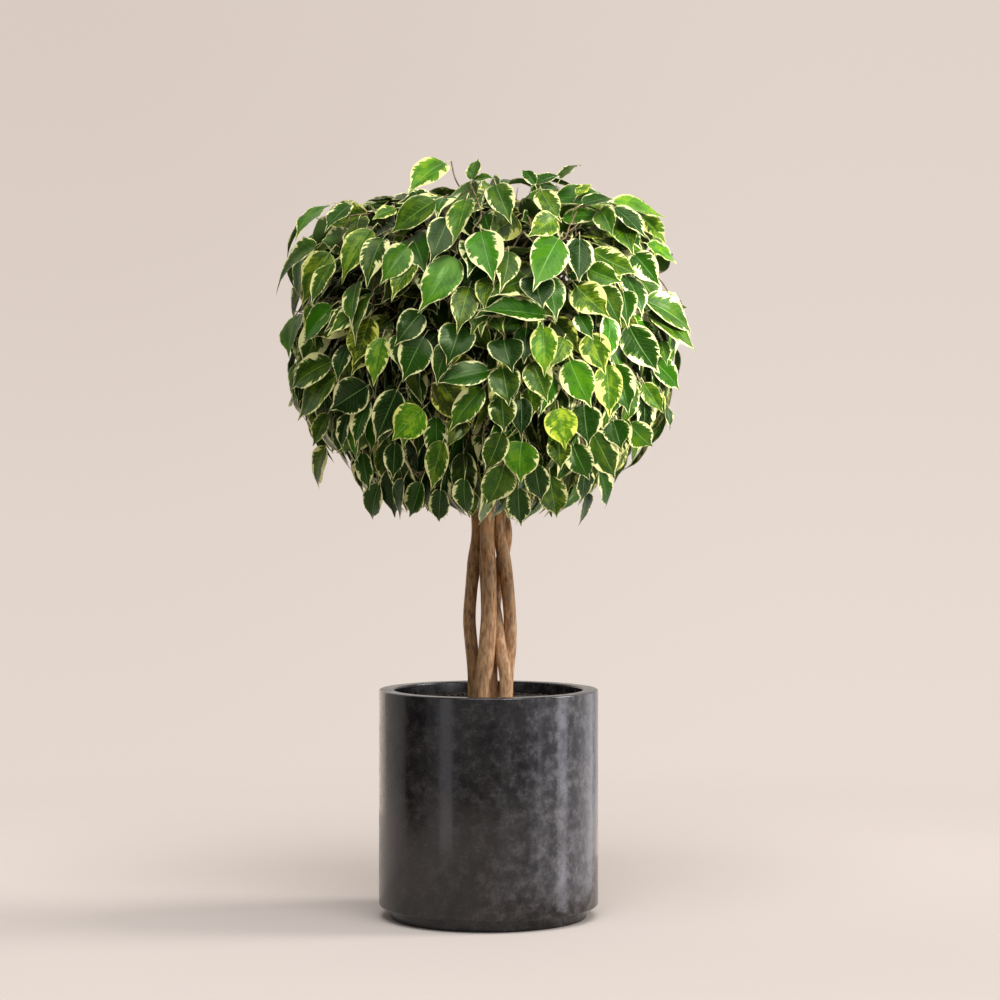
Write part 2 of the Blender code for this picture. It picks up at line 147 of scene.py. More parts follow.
CLEAR_SIDES = 6
LEAVES_ON_TWIG = 7
FIRST_LEAF = 0.30
LAST_LEAF = 0.985
LAST_HAND = 0.2
LEAN = {"onward": 0.25, "sideways": 0.80, "down": 0.75, "outward": 0.16}
UPRIGHT_OUTWARD_LEAN = 0.05
HANG_FLATTENED = 0.9
LEAF_LENGTHS = (67 * MM, 82 * MM)
LEAF_WIDTH_SHARE = 0.56
LEAF_THICK = 1.3 * MM
LEAF_DROOP = (0.25, 0.75)
LEAF_FOLD = (0.12, 0.30)
STALK_SHARE = 0.15
LEAF_OUTLINE = ((0.40, 1.0), (0.74, 0.66))
LEAF_ROOT = 0.65 * MM
CLEARANCE = 0.6 * MM
TRIES = 60
WAY_SPREAD = 0.14
WAY_SPREAD_STEP = 0.02
FACING_SPREAD = 0.2
ROLL_SPREAD = 0.25
SMALLER = 0.86
SEED = 11

# Camera: the square picture's size, the focal length and the horizon's row, all in pixels, where the camera
# stands, and its sensor's width in millimetres.
PICTURE = 1000
FOCAL = 2672.0
HORIZON = 466.0
EYE = Vector((0.01365, -3.172, 0.5336))
SENSOR = 36

# Studio: the floor, the light from the room around, the key light and other lamps, and lamps and a dark card
# close to the planter that show only in its gloss. Each strip is a name, its azimuth from the right, its
# distance, its width, the heights of its lower and upper end, its radiance and its colour.
FLOOR_NEAR = (0.565, 0.507, 0.474, 1)
FLOOR_FAR = (0.66, 0.592, 0.554, 1)
FLOOR_FADE = (0.85, 1.7)
ROOM_BACK = (0.60, 0.55, 0.51, 1)
ROOM_FRONT = (0.30, 0.30, 0.30, 1)
ROOM_BELOW = (0.12, 0.11, 0.10, 1)
COOL = (0.93, 0.91, 1.0)
WARM = (1.0, 0.80, 0.62)
KEY = {"azimuth": 4, "elevation": 31, "spread": 21, "strength": 1.8, "colour": (1.0, 0.97, 0.93)}
SOFTBOX = {"place": (0.35, -2.0, 3.85), "target": (0, 0, 0.45), "size": (3.5, 2.8), "power": 168}
BEAM = {"place": (1.8, -1.8, 0.80), "target": (0.07, 0, 0.70), "size": (0.3, 0.3), "power": 0.75, "spread": 9}
GLINT = {"place": (1.3, -2.6, 2.6), "target": (0, 0, 0.65), "size": (1.0, 0.8), "power": 55}
STRIPS = (
    ("right_a", -68, 0.32, 0.14, 0.0, 0.40, 0.3, COOL),
    ("right_b", -50, 0.32, 0.065, 0.0, 0.40, 0.8, COOL),
    ("right_c", -11, 0.235, 0.36, 0.0, 0.40, 1.2, COOL),
    ("right_d", 42, 0.50, 0.42, 0.0, 0.40, 0.4, COOL),
    ("right_low", 42, 0.50, 0.42, 0.0, 0.12, 0.35, COOL),
    ("narrow_high", -30.4, 0.215, 0.038, 0.14, 0.40, 3.0, COOL),
    ("narrow_right", -30.4, 0.215, 0.038, 0.0, 0.40, 2.4, COOL),
    ("narrow_left", -130, 0.62, 0.14, 0.0, 0.42, 0.9, COOL),
    ("edge_left", 122, 1.00, 0.60, 0.0, 0.60, 0.7, WARM),
)
CARD = {"azimuth": -166, "distance": 0.8, "width": 0.38, "height": 1.0}

# The crown's half width at each height, in millimetres, to the tips of the leaves.
OUTLINE = (
    (452, 96), (470, 132), (493, 162), (517, 190), (541, 206), (565, 216), (588, 227), (612, 234),
    (636, 238), (660, 243), (683, 247), (707, 245), (731, 243), (754, 242), (778, 238), (802, 231),
    (826, 218), (849, 182), (866, 130), (880, 84), (893, 30), (897, 6),
)

# The leaves that show best at the front: the blade's base and tip in pixels, the width that shows, its green
# (0 dark to 1 bright) as it looks, which holds painted light and shade along with the leaf's own tone, how
# far the cream reaches in (0 to 1), and how yellow it is (0 to 1).
FRONT_LEAVES = (
    (444.6, 162.5, 402.8, 192.5, 27, 0.85, 0.55, 0.25), (471.7, 179.8, 479.1, 158.0, 12, 0.55, 0.25, 0.1),
    (472.8, 180.4, 494.6, 179.3, 8, 0.55, 0.3, 0.1), (466.5, 199.5, 459.0, 244.1, 23, 0.7, 0.5, 0.2),
    (448.7, 218.9, 428.6, 262.5, 30, 0.15, 0.25, 0.0), (454.4, 256.8, 425.2, 315.3, 36, 0.95, 0.3, 0.1),
    (481.0, 231.0, 492.1, 283.7, 37, 0.85, 0.5, 0.0), (495.8, 184.3, 509.5, 225.8, 27, 0.4, 0.5, 0.1),
    (508.4, 251.0, 505.0, 293.5, 24, 0.25, 0.5, 0.1), (558.9, 238.4, 527.3, 287.2, 39, 0.75, 0.35, 0.05),
    (579.6, 238.4, 577.3, 283.7, 28, 0.1, 0.3, 0.0), (541.7, 190.2, 553.2, 223.5, 24, 0.45, 0.5, 0.2),
    (534.8, 184.4, 525.6, 167.2, 12, 0.5, 0.4, 0.0), (535.9, 184.4, 562.3, 175.8, 10, 0.3, 0.3, 0.0),
    (561.2, 178.7, 586.5, 163.8, 6, 0.2, 0.3, 0.1), (577.3, 195.9, 591.0, 183.3, 9, 0.6, 0.4, 0.6),
    (555.5, 217.7, 526.8, 237.2, 26, 0.55, 0.55, 0.3), (545.1, 315.3, 479.4, 313.2, 22, 0.6, 0.3, 0.0),
    (536.0, 276.3, 537.1, 309.3, 34, 0.1, 0.15, 0.0), (469.4, 286.6, 454.4, 332.0, 28, 0.2, 0.4, 0.2),
    (487.7, 276.3, 486.0, 310.7, 18, 0.3, 0.3, 0.3), (576.8, 286.1, 606.4, 320.5, 33, 0.4, 0.6, 0.3),
    (592.2, 251.0, 635.7, 280.5, 26, 0.45, 0.85, 0.2), (634.3, 253.9, 661.0, 286.0, 26, 0.5, 0.8, 0.0),
    (647.0, 244.0, 677.5, 264.0, 12, 0.8, 0.4, 0.2), (588.0, 268.9, 621.7, 284.3, 22, 0.55, 0.3, 0.1),
    (600.7, 286.1, 621.7, 326.8, 28, 0.3, 0.4, 0.1), (623.1, 291.7, 629.4, 326.8, 24, 0.5, 0.45, 0.0),
    (645.6, 300.2, 694.0, 338.8, 22, 0.55, 0.5, 0.1), (648.4, 314.2, 697.0, 349.3, 22, 0.6, 0.3, 0.2),
    (628.7, 325.4, 652.6, 377.3, 34, 0.25, 0.6, 0.0), (606.3, 364.7, 611.9, 418.0, 28, 0.7, 0.8, 0.4),
    (614.7, 364.7, 635.7, 412.4, 26, 0.5, 0.5, 0.0), (652.6, 360.5, 680.6, 388.6, 22, 0.6, 0.4, 0.0),
    (589.4, 333.8, 604.9, 374.5, 30, 0.6, 0.65, 0.4), (569.8, 360.5, 588.0, 409.6, 34, 0.85, 0.4, 0.1),
    (543.1, 326.8, 545.9, 377.3, 26, 0.85, 0.4, 0.35), (564.2, 338.0, 550.2, 370.3, 24, 0.5, 0.5, 0.3),
    (531.9, 361.9, 550.2, 401.2, 28, 0.45, 0.65, 0.2), (558.6, 408.2, 564.2, 450.0, 33, 0.9, 0.55, 0.95),
    (583.8, 405.4, 586.6, 446.0, 32, 0.25, 0.25, 0.0), (503.9, 339.4, 508.0, 372.3, 34, 0.15, 0.1, 0.0),
    (526.3, 326.8, 523.5, 364.7, 24, 0.12, 0.1, 0.0), (502.4, 367.5, 510.2, 406.0, 30, 0.25, 0.2, 0.1),
    (578.2, 314.2, 592.2, 341.4, 17, 0.45, 0.4, 0.0), (661.0, 340.8, 663.8, 365.3, 14, 0.5, 0.3, 0.1),
    (644.2, 382.9, 661.0, 415.2, 18, 0.6, 0.4, 0.2), (662.4, 402.6, 671.5, 430.6, 7, 0.2, 0.3, 0.0),
    (613.3, 420.8, 621.7, 450.0, 26, 0.3, 0.3, 0.0), (628.7, 423.6, 649.8, 450.0, 26, 0.6, 0.4, 0.1),
    (423.8, 337.0, 398.6, 380.0, 34, 0.3, 0.3, 0.0), (382.5, 337.8, 371.5, 386.0, 23, 0.75, 0.7, 0.3),
    (367.2, 385.9, 329.0, 410.0, 34, 0.08, 0.35, 0.0), (331.7, 361.8, 289.0, 384.8, 26, 0.3, 0.5, 0.1),
    (336.3, 375.6, 297.0, 419.2, 25, 0.45, 0.35, 0.2), (422.3, 408.9, 390.5, 439.0, 35, 0.95, 0.3, 0.4),
    (397.0, 390.5, 375.3, 442.2, 29, 0.1, 0.35, 0.0), (369.5, 400.8, 354.6, 448.2, 18, 0.35, 0.6, 0.0),
    (443.0, 441.0, 428.5, 489.0, 24, 0.5, 0.5, 0.2), (482.5, 388.0, 446.8, 430.2, 26, 0.55, 0.45, 0.1),
    (488.9, 370.2, 434.8, 386.3, 24, 0.45, 0.3, 0.0), (328.2, 413.5, 317.3, 450.2, 15, 0.45, 0.4, 0.2),
    (348.9, 413.5, 342.0, 452.0, 12, 0.12, 0.5, 0.0), (325.9, 446.8, 317.3, 489.5, 15, 0.35, 0.55, 0.2),
    (362.7, 452.5, 371.8, 491.2, 17, 0.3, 0.45, 0.0), (394.8, 443.3, 393.6, 479.8, 21, 0.12, 0.35, 0.0),
    (378.7, 484.0, 374.0, 522.0, 18, 0.3, 0.3, 0.0), (404.0, 479.8, 401.7, 521.0, 9, 0.25, 0.3, 0.0),
    (421.2, 482.0, 415.5, 521.0, 18, 0.3, 0.35, 0.0), (440.7, 489.0, 441.9, 524.0, 20, 0.15, 0.3, 0.0),
    (501.6, 397.0, 504.8, 433.4, 28, 0.2, 0.3, 0.1), (520.8, 398.3, 524.6, 438.5, 21, 0.05, 0.05, 0.0),
    (532.2, 387.3, 532.9, 422.5, 22, 0.45, 0.5, 0.2), (522.0, 441.6, 514.4, 482.4, 36, 0.8, 0.3, 0.15),
    (504.2, 464.6, 495.3, 508.0, 31, 0.5, 0.4, 0.1), (559.0, 439.6, 557.8, 469.9, 24, 0.25, 0.3, 0.2),
    (573.0, 444.2, 585.8, 481.9, 26, 0.5, 0.55, 0.0), (592.2, 431.4, 614.2, 481.2, 30, 0.3, 0.45, 0.1),
    (550.0, 476.0, 555.2, 518.2, 28, 0.5, 0.4, 0.2), (534.8, 464.6, 539.9, 502.3, 25, 0.15, 0.35, 0.0),
    (518.2, 487.6, 518.2, 525.8, 24, 0.25, 0.5, 0.0), (464.6, 478.4, 464.6, 515.8, 20, 0.3, 0.45, 0.0),
    (584.5, 466.7, 579.4, 503.6, 15, 0.15, 0.3, 0.0), (585.8, 493.0, 578.8, 526.4, 8, 0.12, 0.3, 0.0),
    (600.1, 470.8, 606.9, 509.8, 13, 0.5, 0.4, 0.0), (485.8, 484.8, 480.6, 526.4, 13, 0.4, 0.75, 0.2),
    (501.6, 432.7, 487.6, 474.0, 25, 0.2, 0.25, 0.1), (613.6, 203.0, 668.0, 222.1, 13, 0.85, 0.3, 0.3),
    (582.0, 204.5, 617.4, 200.3, 11, 0.25, 0.2, 0.0), (613.6, 206.9, 647.0, 239.5, 17, 0.2, 0.5, 0.0),
    (642.3, 217.4, 667.0, 243.3, 19, 0.7, 0.95, 0.3), (600.2, 209.7, 618.4, 233.7, 23, 0.5, 0.3, 0.1),
    (619.3, 217.4, 633.7, 253.8, 26, 0.6, 0.25, 0.2), (327.2, 205.4, 293.7, 238.5, 14, 0.7, 0.25, 0.1),
    (350.0, 204.3, 327.2, 231.2, 17, 0.35, 0.4, 0.0), (371.2, 230.0, 337.0, 280.0, 25, 0.6, 0.3, 0.3),
    (383.7, 238.0, 361.7, 287.9, 24, 0.2, 0.8, 0.1), (407.9, 246.8, 378.1, 283.8, 27, 0.75, 0.35, 0.1),
    (395.4, 208.7, 371.2, 220.0, 13, 0.6, 0.5, 0.3), (317.0, 245.4, 275.2, 286.6, 14, 0.35, 0.35, 0.1),
    (330.0, 252.7, 298.1, 303.3, 29, 0.35, 0.15, 0.35), (299.3, 314.3, 286.1, 359.2, 18, 0.6, 0.15, 0.1),
    (333.0, 263.0, 311.0, 306.5, 17, 0.35, 0.4, 0.2), (358.0, 282.0, 350.7, 327.0, 16, 0.5, 0.4, 0.1),
    (372.7, 292.3, 353.6, 345.1, 12, 0.35, 0.55, 0.1), (415.2, 261.5, 389.1, 300.1, 19, 0.35, 0.6, 0.3),
    (421.1, 312.8, 391.5, 344.1, 26, 0.2, 0.25, 0.0), (460.7, 324.6, 449.5, 365.6, 36, 0.25, 0.12, 0.0),
    (349.2, 345.1, 334.0, 382.0, 15, 0.2, 0.4, 0.0),
)
STRAY_LEAF = 0
STRAY_TWIG = ((467, 202), (459, 185), (450, 170), (448, 161))

# How far the crown reaches in the picture from the pixel at its middle, in pixels, at every five degrees
# anticlockwise from the right.
EDGE_MIDDLE = (488, 345)
EDGE = (
    208, 205, 201, 191, 176, 205, 205, 219, 220, 215, 202, 187, 186, 180, 178, 176, 168, 166,
    165, 166, 162, 160, 160, 164, 177, 183, 186, 207, 225, 229, 228, 222, 225, 197, 199, 209,
    208, 203, 204, 212, 206, 199, 201, 217, 193, 185, 195, 211, 189, 197, 179, 181, 176, 178,
    176, 180, 181, 171, 185, 179, 190, 180, 198, 186, 187, 191, 189, 199, 192, 184, 190, 195,
)

# Gaps seen in the crown: an ellipse's middle and half sizes in pixels, and the share of the outline down to
# which it is empty. The backdrop shows through those that are empty down to 0.
GAPS = (
    (476, 212, 4, 9, 0), (516, 243, 7, 9, 0), (521, 193, 8, 4, 0), (593, 223, 10, 4, 0), (560, 271, 10, 9, 0),
    (562, 226, 9, 10, 0.72), (392, 280, 7, 8, 0.78), (378, 287, 9, 6, 0.76), (398, 305, 15, 8, 0.76),
    (343, 284, 15, 12, 0.80), (455, 320, 13, 9, 0.74), (510, 315, 9, 12, 0.74), (475, 235, 6, 8, 0.76),
    (351, 392, 9, 8, 0.80), (432, 398, 9, 9, 0.76), (470, 442, 8, 12, 0.76), (560, 395, 8, 7, 0.76),
    (414, 462, 8, 10, 0.78), (340, 470, 8, 10, 0.80), (540, 445, 9, 8, 0.76), (600, 452, 8, 8, 0.80),
)

# Twigs seen in them: radius in millimetres, share of the outline, and pixels along the twig.
SHOWN_TWIGS = (
    (1.0, 0.90, (473, 233), (481, 217), (477, 200), (470, 183)),
    (1.1, 0.82, (556, 240), (559, 228), (557, 216)),
    (1.0, 0.84, (562, 240), (570, 225), (577, 211)),
    (1.1, 0.80, (567, 236), (575, 227), (583, 218)),
    (1.3, 0.70, (545, 282), (554, 268), (567, 254)),
    (1.1, 0.74, (574, 286), (568, 270), (562, 253)),
    (1.2, 0.76, (508, 258), (514, 246), (523, 231)),
    (1.0, 0.70, (516, 256), (522, 248), (529, 239)),
    (1.2, 0.72, (449, 332), (456, 320), (463, 309)),
    (1.0, 0.72, (508, 330), (511, 316), (509, 302)),
    (1.0, 0.74, (386, 291), (391, 281), (397, 271)),
)
FRONT_BASE_SHARE = 0.90
FRONT_TIP_SHARE = 1.0
FRONT_SLANT = 0.75
FRONT_FOLD = (0.16, 0.30)
FRONT_DROOP = (0.30, 0.45)
FRONT_NARROWEST = 0.50
FRONT_STEPS = 14
FRONT_STEP = 3 * MM
BLADE_MIDDLE = 0.575

# The part's own leaves: how far below the crown's middle they are hung steeper, and which of them are kept.
HUNG_BELOW = 50 * MM
OWN_MOST_HIDDEN = 0.1
OWN_REACH = 1.02

# Leaves that fill the crown behind and beside those. A stage is its lowest and highest elevation and how many
# leaves it adds. A layer is the shares of the way to the outline between which its leaves lie.
FILL_SEED = 5
FILL_STAGES = ((-62, -20, 560), (-80, 90, 1480))
FILL_TRIES = 18
FILL_REACH = 0.03
FILL_LAYERS = ((0.82, 0.93), (0.68, 0.82), (0.50, 0.68))
FILL_LAYER_CHANCES = (0.60, 0.30, 0.10)
FILL_LENGTHS = (60 * MM, 82 * MM)
FILL_FLOW = {"turn": 1.5, "scale": 3.1}
FILL_SPIN = 0.35
FILL_LIFT = (0.25, 1.0)
FILL_FACING = 0.40
FILL_ROLL = 0.62
FILL_DROOPS = (0.25, 1.15)
FOLDS = (0.12, 0.55)
WIDTHS = {"low": (0.34, 0.46), "high": (0.42, 0.52)}
LOW_FROM = math.radians(-18)
LOW_OUTWARD = 0.07
MOST_HIDDEN = 0.06
TRUNK_ROOM = 42 * MM
TRUNK_TOP = 0.56

# Leaves round the outline as it is seen. Their directions in the picture are drawn from these, in degrees.
RIM_TRIES = 7000
RIM_LEAVES = 380
RIM_TURNS = ((0, 360), (195, 345), (200, 340))
RIM_SHARES = (0.88, 1.0)
RIM_DROOPS = (0.3, 1.0)
RIM_WIDTHS = {"low": (0.32, 0.42), "high": (0.38, 0.50)}
RIM_DEPTH = 0.07
RIM_FOOT_REACH = 1.0
RIM_TIP_REACH = 1.12
RIM_LOW_FROM = -0.35

# The leaves stand in clumps, which reach further out or less far than the outline.
CLUMP_LOW_FROM = -0.25
CLUMP_REACH = {"low": 1.0, "high": 0.955}
CLUMP_DEPTH = 0.10
CLUMP_SCALE = 4.6

# How many shapes a crowd has room for.
CROWD_ROOM = 4000

# Depths kept for a pixel that has no front leaf, and for one where the backdrop shows.
NO_LEAF = 1e9
SEE_THROUGH = 1e7

# Spots tried on a blade: shares along the leaf, with the half width there, and shares across.
SPOT_ROWS = ((0.22, 0.5), (0.32, 0.9), (0.42, 0.98), (0.54, 0.92), (0.66, 0.78), (0.78, 0.5), (0.9, 0.15))
SPOT_COLUMNS = (-0.9, -0.45, 0, 0.45, 0.9)

# The drawn blade: where its cross rows lie along it and its half width there, as shares, and its columns.
BLADE = (
    (0.018, 0.28), (0.06, 0.53), (0.12, 0.74), (0.20, 0.90), (0.29, 0.99), (0.38, 1.0),
    (0.49, 0.96), (0.60, 0.85), (0.69, 0.66), (0.76, 0.42), (0.82, 0.22), (0.91, 0.12),
)
COLUMNS = (-1.0, -0.72, -0.36, 0.0, 0.36, 0.72, 1.0)
BLADE_THICK = 0.5 * MM
PETIOLE_RADIUS = 0.55 * MM
TWIG_BEHIND = 9 * MM
SIDE_TWIG_RADII = (0.95 * MM, 0.55 * MM)
SIDE_TWIG_LEAVES = 4
LONG_REACH = 40 * MM

# Bark chips on the soil: how many are tried, and their half lengths in millimetres.
CHIPS = 900
CHIP_SIZES = (1.6, 5.5)


def smooth_path(points, steps):
    """Points on a Catmull-Rom curve through the given ones, with so many steps between each pair."""
    ends = [2 * points[0] - points[1], *points, 2 * points[-1] - points[-2]]
    path = []
    for before, start, end, after in zip(ends, ends[1:], ends[2:], ends[3:]):
        for t in (step / steps for step in range(steps)):
            slope = (end - before) * t
            bend = (2 * before - 5 * start + 4 * end - after) * t * t
            twist = (3 * start - before - 3 * end + after) * t * t * t
            path.append(0.5 * (2 * start + slope + bend + twist))
    return [*path, points[-1].copy()]


def tube(path, radii, sides):
    """Vertices and faces of a flat-ended tube. The radii are one a point, or the two at the ends."""
    vertices, faces = [], []
    across = Vector((1, 0, 0))
    if len(radii) != len(path):
        first, last = radii
        radii = [first + (last - first) * i / (len(path) - 1) for i in range(len(path))]
    for i, (point, radius) in enumerate(zip(path, radii)):
        along = (path[min(i + 1, len(path) - 1)] - path[max(i - 1, 0)]).normalized()
        across = (across - across.dot(along) * along).normalized()
        third = along.cross(across)
        for side in range(sides):
            angle = math.tau * side / sides
            vertices.append(point + radius * (math.cos(angle) * across + math.sin(angle) * third))
    for i in range(len(path) - 1):
        for side in range(sides):
            a, b = i * sides + side, i * sides + (side + 1) % sides
            faces.append((a, b, b + sides, a + sides))
    faces.append(tuple(range(sides - 1, -1, -1)))
    faces.append(tuple(range(len(vertices) - sides, len(vertices))))
    return vertices, faces


def superellipse(elevation, half_width, half_height, power):
    across = abs(math.cos(elevation)) / half_width
    upward = abs(math.sin(elevation)) / half_height
    return (across**power + upward**power) ** (-1 / power)


def direction(e, a):
    """The direction at an elevation and an azimuth, in radians."""
    return Vector((math.cos(e) * math.cos(a), math.cos(e) * math.sin(a), math.sin(e)))


def shell_point(elevation, azimuth, share):
    """The point in this direction, in degrees, at this share of the way out to the twigs' shell."""
    e, a = math.radians(elevation), math.radians(azimuth)
    if e >= 0:
        reach = superellipse(e, SHELL_HALF_WIDTH, SHELL_RISE, SHELL_TOP_POWER)
    else:
        reach = superellipse(e, SHELL_HALF_WIDTH, SHELL_DROP, SHELL_BASE_POWER)
    return CROWN_CENTRE + direction(e, a) * reach * share


def stem_path(stem, steps=STEM_STEPS):
    """A stem's centre line: from its end in the soil, up the braid and out to its side of the crown."""
    points = [Vector((x, y, z)) * MM for x, y, z in zip(stem["x"], stem["y"], STEM_HEIGHTS)]
    a = math.radians(stem["azimuth"])
    out = [Vector((r * math.cos(a), r * math.sin(a), z)) * MM for z, r in LEADER]
    path = smooth_path([*points, *out], steps)
    crown = steps * (len(points) - 1)
    return path[:crown] + path[crown::steps] if steps == STEM_STEPS else path


def stem_radii(stem, path):
    """The stem keeps its girth up to the crown and tapers inside it."""
    low, high = stem["radii"]
    crown, top = STEM_HEIGHTS[-1] * MM, path[-1].z
    radii = []
    for point in path:
        if point.z < crown:
            share = (point.z - path[0].z) / (crown - path[0].z)
            radii.append(low + (high - low) * share)
        else:
            share = (point.z - crown) / (top - crown)
            radii.append(high + (LEADER_TIP_RADIUS - high) * share)
    return radii


def point_at_height(path, height):
    for low, high in zip(path, path[1:]):
        if low.z <= height <= high.z:
            return low.lerp(high, (height - low.z) / (high.z - low.z))
    return path[-1].copy()


def widened(radii):
    return [radius + CLEARANCE for radius in radii]


def tree_of(vertices, faces):
    return BVHTree.FromPolygons([tuple(v) for v in vertices], faces)


def ball_round(vertices):
    """The middle of a shape, and how far its corners reach from it."""
    middle = sum(vertices, Vector()) / len(vertices)
    return middle, max((v - middle).length for v in vertices)


class Crowd:
    """Shapes that are already placed, each with its owner's name, in a form that finds near ones quickly."""

    def __init__(self):
        self.middles = np.zeros((CROWD_ROOM, 3))
        self.reaches = np.zeros(CROWD_ROOM)
        self.owners, self.trees = [], []

    def add(self, owner, vertices, faces):
        count = len(self.trees)
        self.middles[count], self.reaches[count] = ball_round(vertices)
        self.owners.append(owner)
        self.trees.append(tree_of(vertices, faces))

    def meets(self, owner, vertices, faces):
        """Whether the shape meets one that isn't its owner's."""
        count = len(self.trees)
        middle, reach = ball_round(vertices)
        away = np.linalg.norm(self.middles[:count] - np.array(middle), axis=1)
        near = np.nonzero(away < self.reaches[:count] + reach)[0]
        near = [self.trees[i] for i in near if self.owners[i] != owner]
        tree = tree_of(vertices, faces) if near else None
        return any(tree.overlap(other) for other in near)


def grown_twig(stem, row, turn, draw):
    """A twig in this row and direction, and the branch that carries it from its stem."""
    azimuth = stem["azimuth"] + turn + draw.uniform(-TURN_SPREAD, TURN_SPREAD)
    elevation = row["elevation"] + draw.uniform(-row["spread"], row["spread"])
    reach = draw.uniform(*REACH_SPREAD)
    upright = row["course"] is UPRIGHT
    if upright and stem["name"] == TALL_SHOOT["stem"]:
        reach = TALL_SHOOT["reach"]
    path = [shell_point(elevation + rise, azimuth, share * reach) for rise, share in row["course"]]
    height = row["leaves_stem_at"] * MM + draw.uniform(-FOOT_SPREAD, FOOT_SPREAD)
    foot = point_at_height(stem_path(stem), height)
    lead = (path[0] - path[1]).normalized()
    bend = path[0] + lead * (path[0] - foot).length * BRANCH_BEND
    branch = [foot, bend, path[0] + lead * GAP]
    return {"stem": stem["name"], "path": path, "branch": branch, "upright": upright}


def twig_plan():
    """Every twig with its branch, each drawn again until it is clear of those before it."""
    draw = random.Random(SEED)
    obstacles = Crowd()
    for stem in STEMS:
        path = stem_path(stem)
        obstacles.add(stem["name"], *tube(path, widened(stem_radii(stem, path)), STEM_SIDES))
    plan = []
    for row in ROWS:
        for stem in STEMS:
            for turn in row["turns"]:
                for _ in range(TRIES):
                    twig = grown_twig(stem, row, turn, draw)
                    branch = tube(twig["branch"], widened(BRANCH_RADII), CLEAR_SIDES)
                    stalk = tube(twig["path"], widened(TWIG_RADII), CLEAR_SIDES)
                    if not obstacles.meets(stem["name"], *branch) and not obstacles.meets("", *stalk):
                        break
                obstacles.add(stem["name"], *branch)
                obstacles.add("twig", *stalk)
                twig["name"] = f"spray_{len(plan) + 1:02d}"
                plan.append(twig)
    return plan


def along_path(path, share):
    """The point and direction at this share of a path's length."""
    lengths = [(b - a).length for a, b in zip(path, path[1:])]
    left = share * sum(lengths)
    for (a, b), length in zip(zip(path, path[1:]), lengths):
        if left <= length or b is path[-1]:
            return a.lerp(b, min(1, left / length)), (b - a).normalized()
        left -= length


def arch(leaf, u):
    """How far forward and how far down the arched leaf has come at this share of its length."""
    length, droop = leaf["length"], leaf["droop"]
    return length * math.sin(droop * u) / droop, length * (1 - math.cos(droop * u)) / droop


def leaf_shape(leaf, grow=0.0, stalk=True):
    """Vertices and faces of a plain leaf, used to keep leaves clear of each other."""
    length, fold = leaf["length"], leaf["fold"]
    width = leaf.get("width", LEAF_WIDTH_SHARE)
    side, along, up, foot = leaf["frame"]

    def spot(u, across, lift):
        forward, drop = arch(leaf, u)
        return foot + side * across + along * forward + up * (lift - drop)

    def stalk_ring(u):
        wide = LEAF_ROOT + grow
        return [spot(u, -wide, wide / 2), spot(u, wide, wide / 2), spot(u, 0, -wide)]

    def blade_ring(u, share):
        half = share * length * width / 2
        wide, deep = half + grow, LEAF_THICK / 2 + grow
        raised = half * math.tan(fold)
        return [spot(u, -wide, raised), spot(u, wide, raised), spot(u, 0, -deep), spot(u, 0, deep)]

    vertices = [*(stalk_ring(0) if stalk else []), *stalk_ring(STALK_SHARE)]
    neck = len(vertices) - 3
    faces = [(0, 2, 1)]
    for k in range(3 if stalk else 0):
        a, b = k, (k + 1) % 3
        faces += [(a, b, b + 3), (a, b + 3, a + 3)]
    for u, share in LEAF_OUTLINE:
        vertices += blade_ring(u, share)
    left, right, keel, ring = neck, neck + 1, neck + 2, neck + 3
    faces += [(left, right, ring + 3), (left, ring + 3, ring), (right, ring + 1, ring + 3)]
    faces += [(keel, ring + 2, right), (right, ring + 2, ring + 1)]
    faces += [(left, ring, ring + 2), (left, ring + 2, keel)]
    tip = len(vertices)
    vertices.append(spot(1, 0, 0))
    for ring in range(neck + 3, tip - 4, 4):
        for rib in (ring + 2, ring + 3):
            halves = [(ring, rib, rib + 4), (ring, rib + 4, ring + 4)]
            halves += [(ring + 1, rib + 4, rib), (ring + 1, ring + 5, rib + 4)]
            faces += [face[::-1] for face in halves] if rib == ring + 2 else halves
    ring = tip - 4
    faces += [(ring, ring + 3, tip), (ring + 3, ring + 1, tip)]
    faces += [(ring + 1, ring + 2, tip), (ring + 2, ring, tip)]
    return vertices, faces


def leaf_frame(point, along, outward, roll):
    """The leaf's side, its direction, its upper face turned outward and then rolled, and its stalk's foot."""
    up = (outward - outward.dot(along) * along).normalized()
    up = Matrix.Rotation(roll, 3, along) @ up
    return along.cross(up), along, up, point


def leaf_way(twig, point, forward, hand):
    """The direction in which a leaf grows from its twig: to one side, onward, and down by its own weight."""
    outward = (point - CROWN_CENTRE).normalized()
    sideways = outward.cross(forward).normalized() * hand
    down = Vector((0, 0, -1))
    hang = down - down.dot(outward) * outward * HANG_FLATTENED
    way = LEAN["onward"] * forward + LEAN["sideways"] * sideways + LEAN["down"] * hang
    way += (UPRIGHT_OUTWARD_LEAN if twig["upright"] else LEAN["outward"]) * outward
    return way.normalized(), outward


def leaves_of(twig, draw):
    """The leaves that the twig would bear if nothing were in their way, alternating from side to side."""
    found = []
    for number in range(LEAVES_ON_TWIG):
        share = FIRST_LEAF + (1 - FIRST_LEAF) * number / (LEAVES_ON_TWIG - 1)
        point, forward = along_path(twig["path"], min(share, LAST_LEAF))
        hand = 1 if number % 2 else -1
        if number == LEAVES_ON_TWIG - 1:
            hand *= LAST_HAND
        way, outward = leaf_way(twig, point, forward, hand)
        found.append(
            {
                "point": point,
                "way": way,
                "outward": outward,
                "length": draw.uniform(*LEAF_LENGTHS),
                "droop": draw.uniform(*LEAF_DROOP),
                "fold": draw.uniform(*LEAF_FOLD),
            }
        )
    return found


def shaken(direction, spread, draw):
    return (direction + Vector([draw.gauss(0, spread) for _ in range(3)])).normalized()


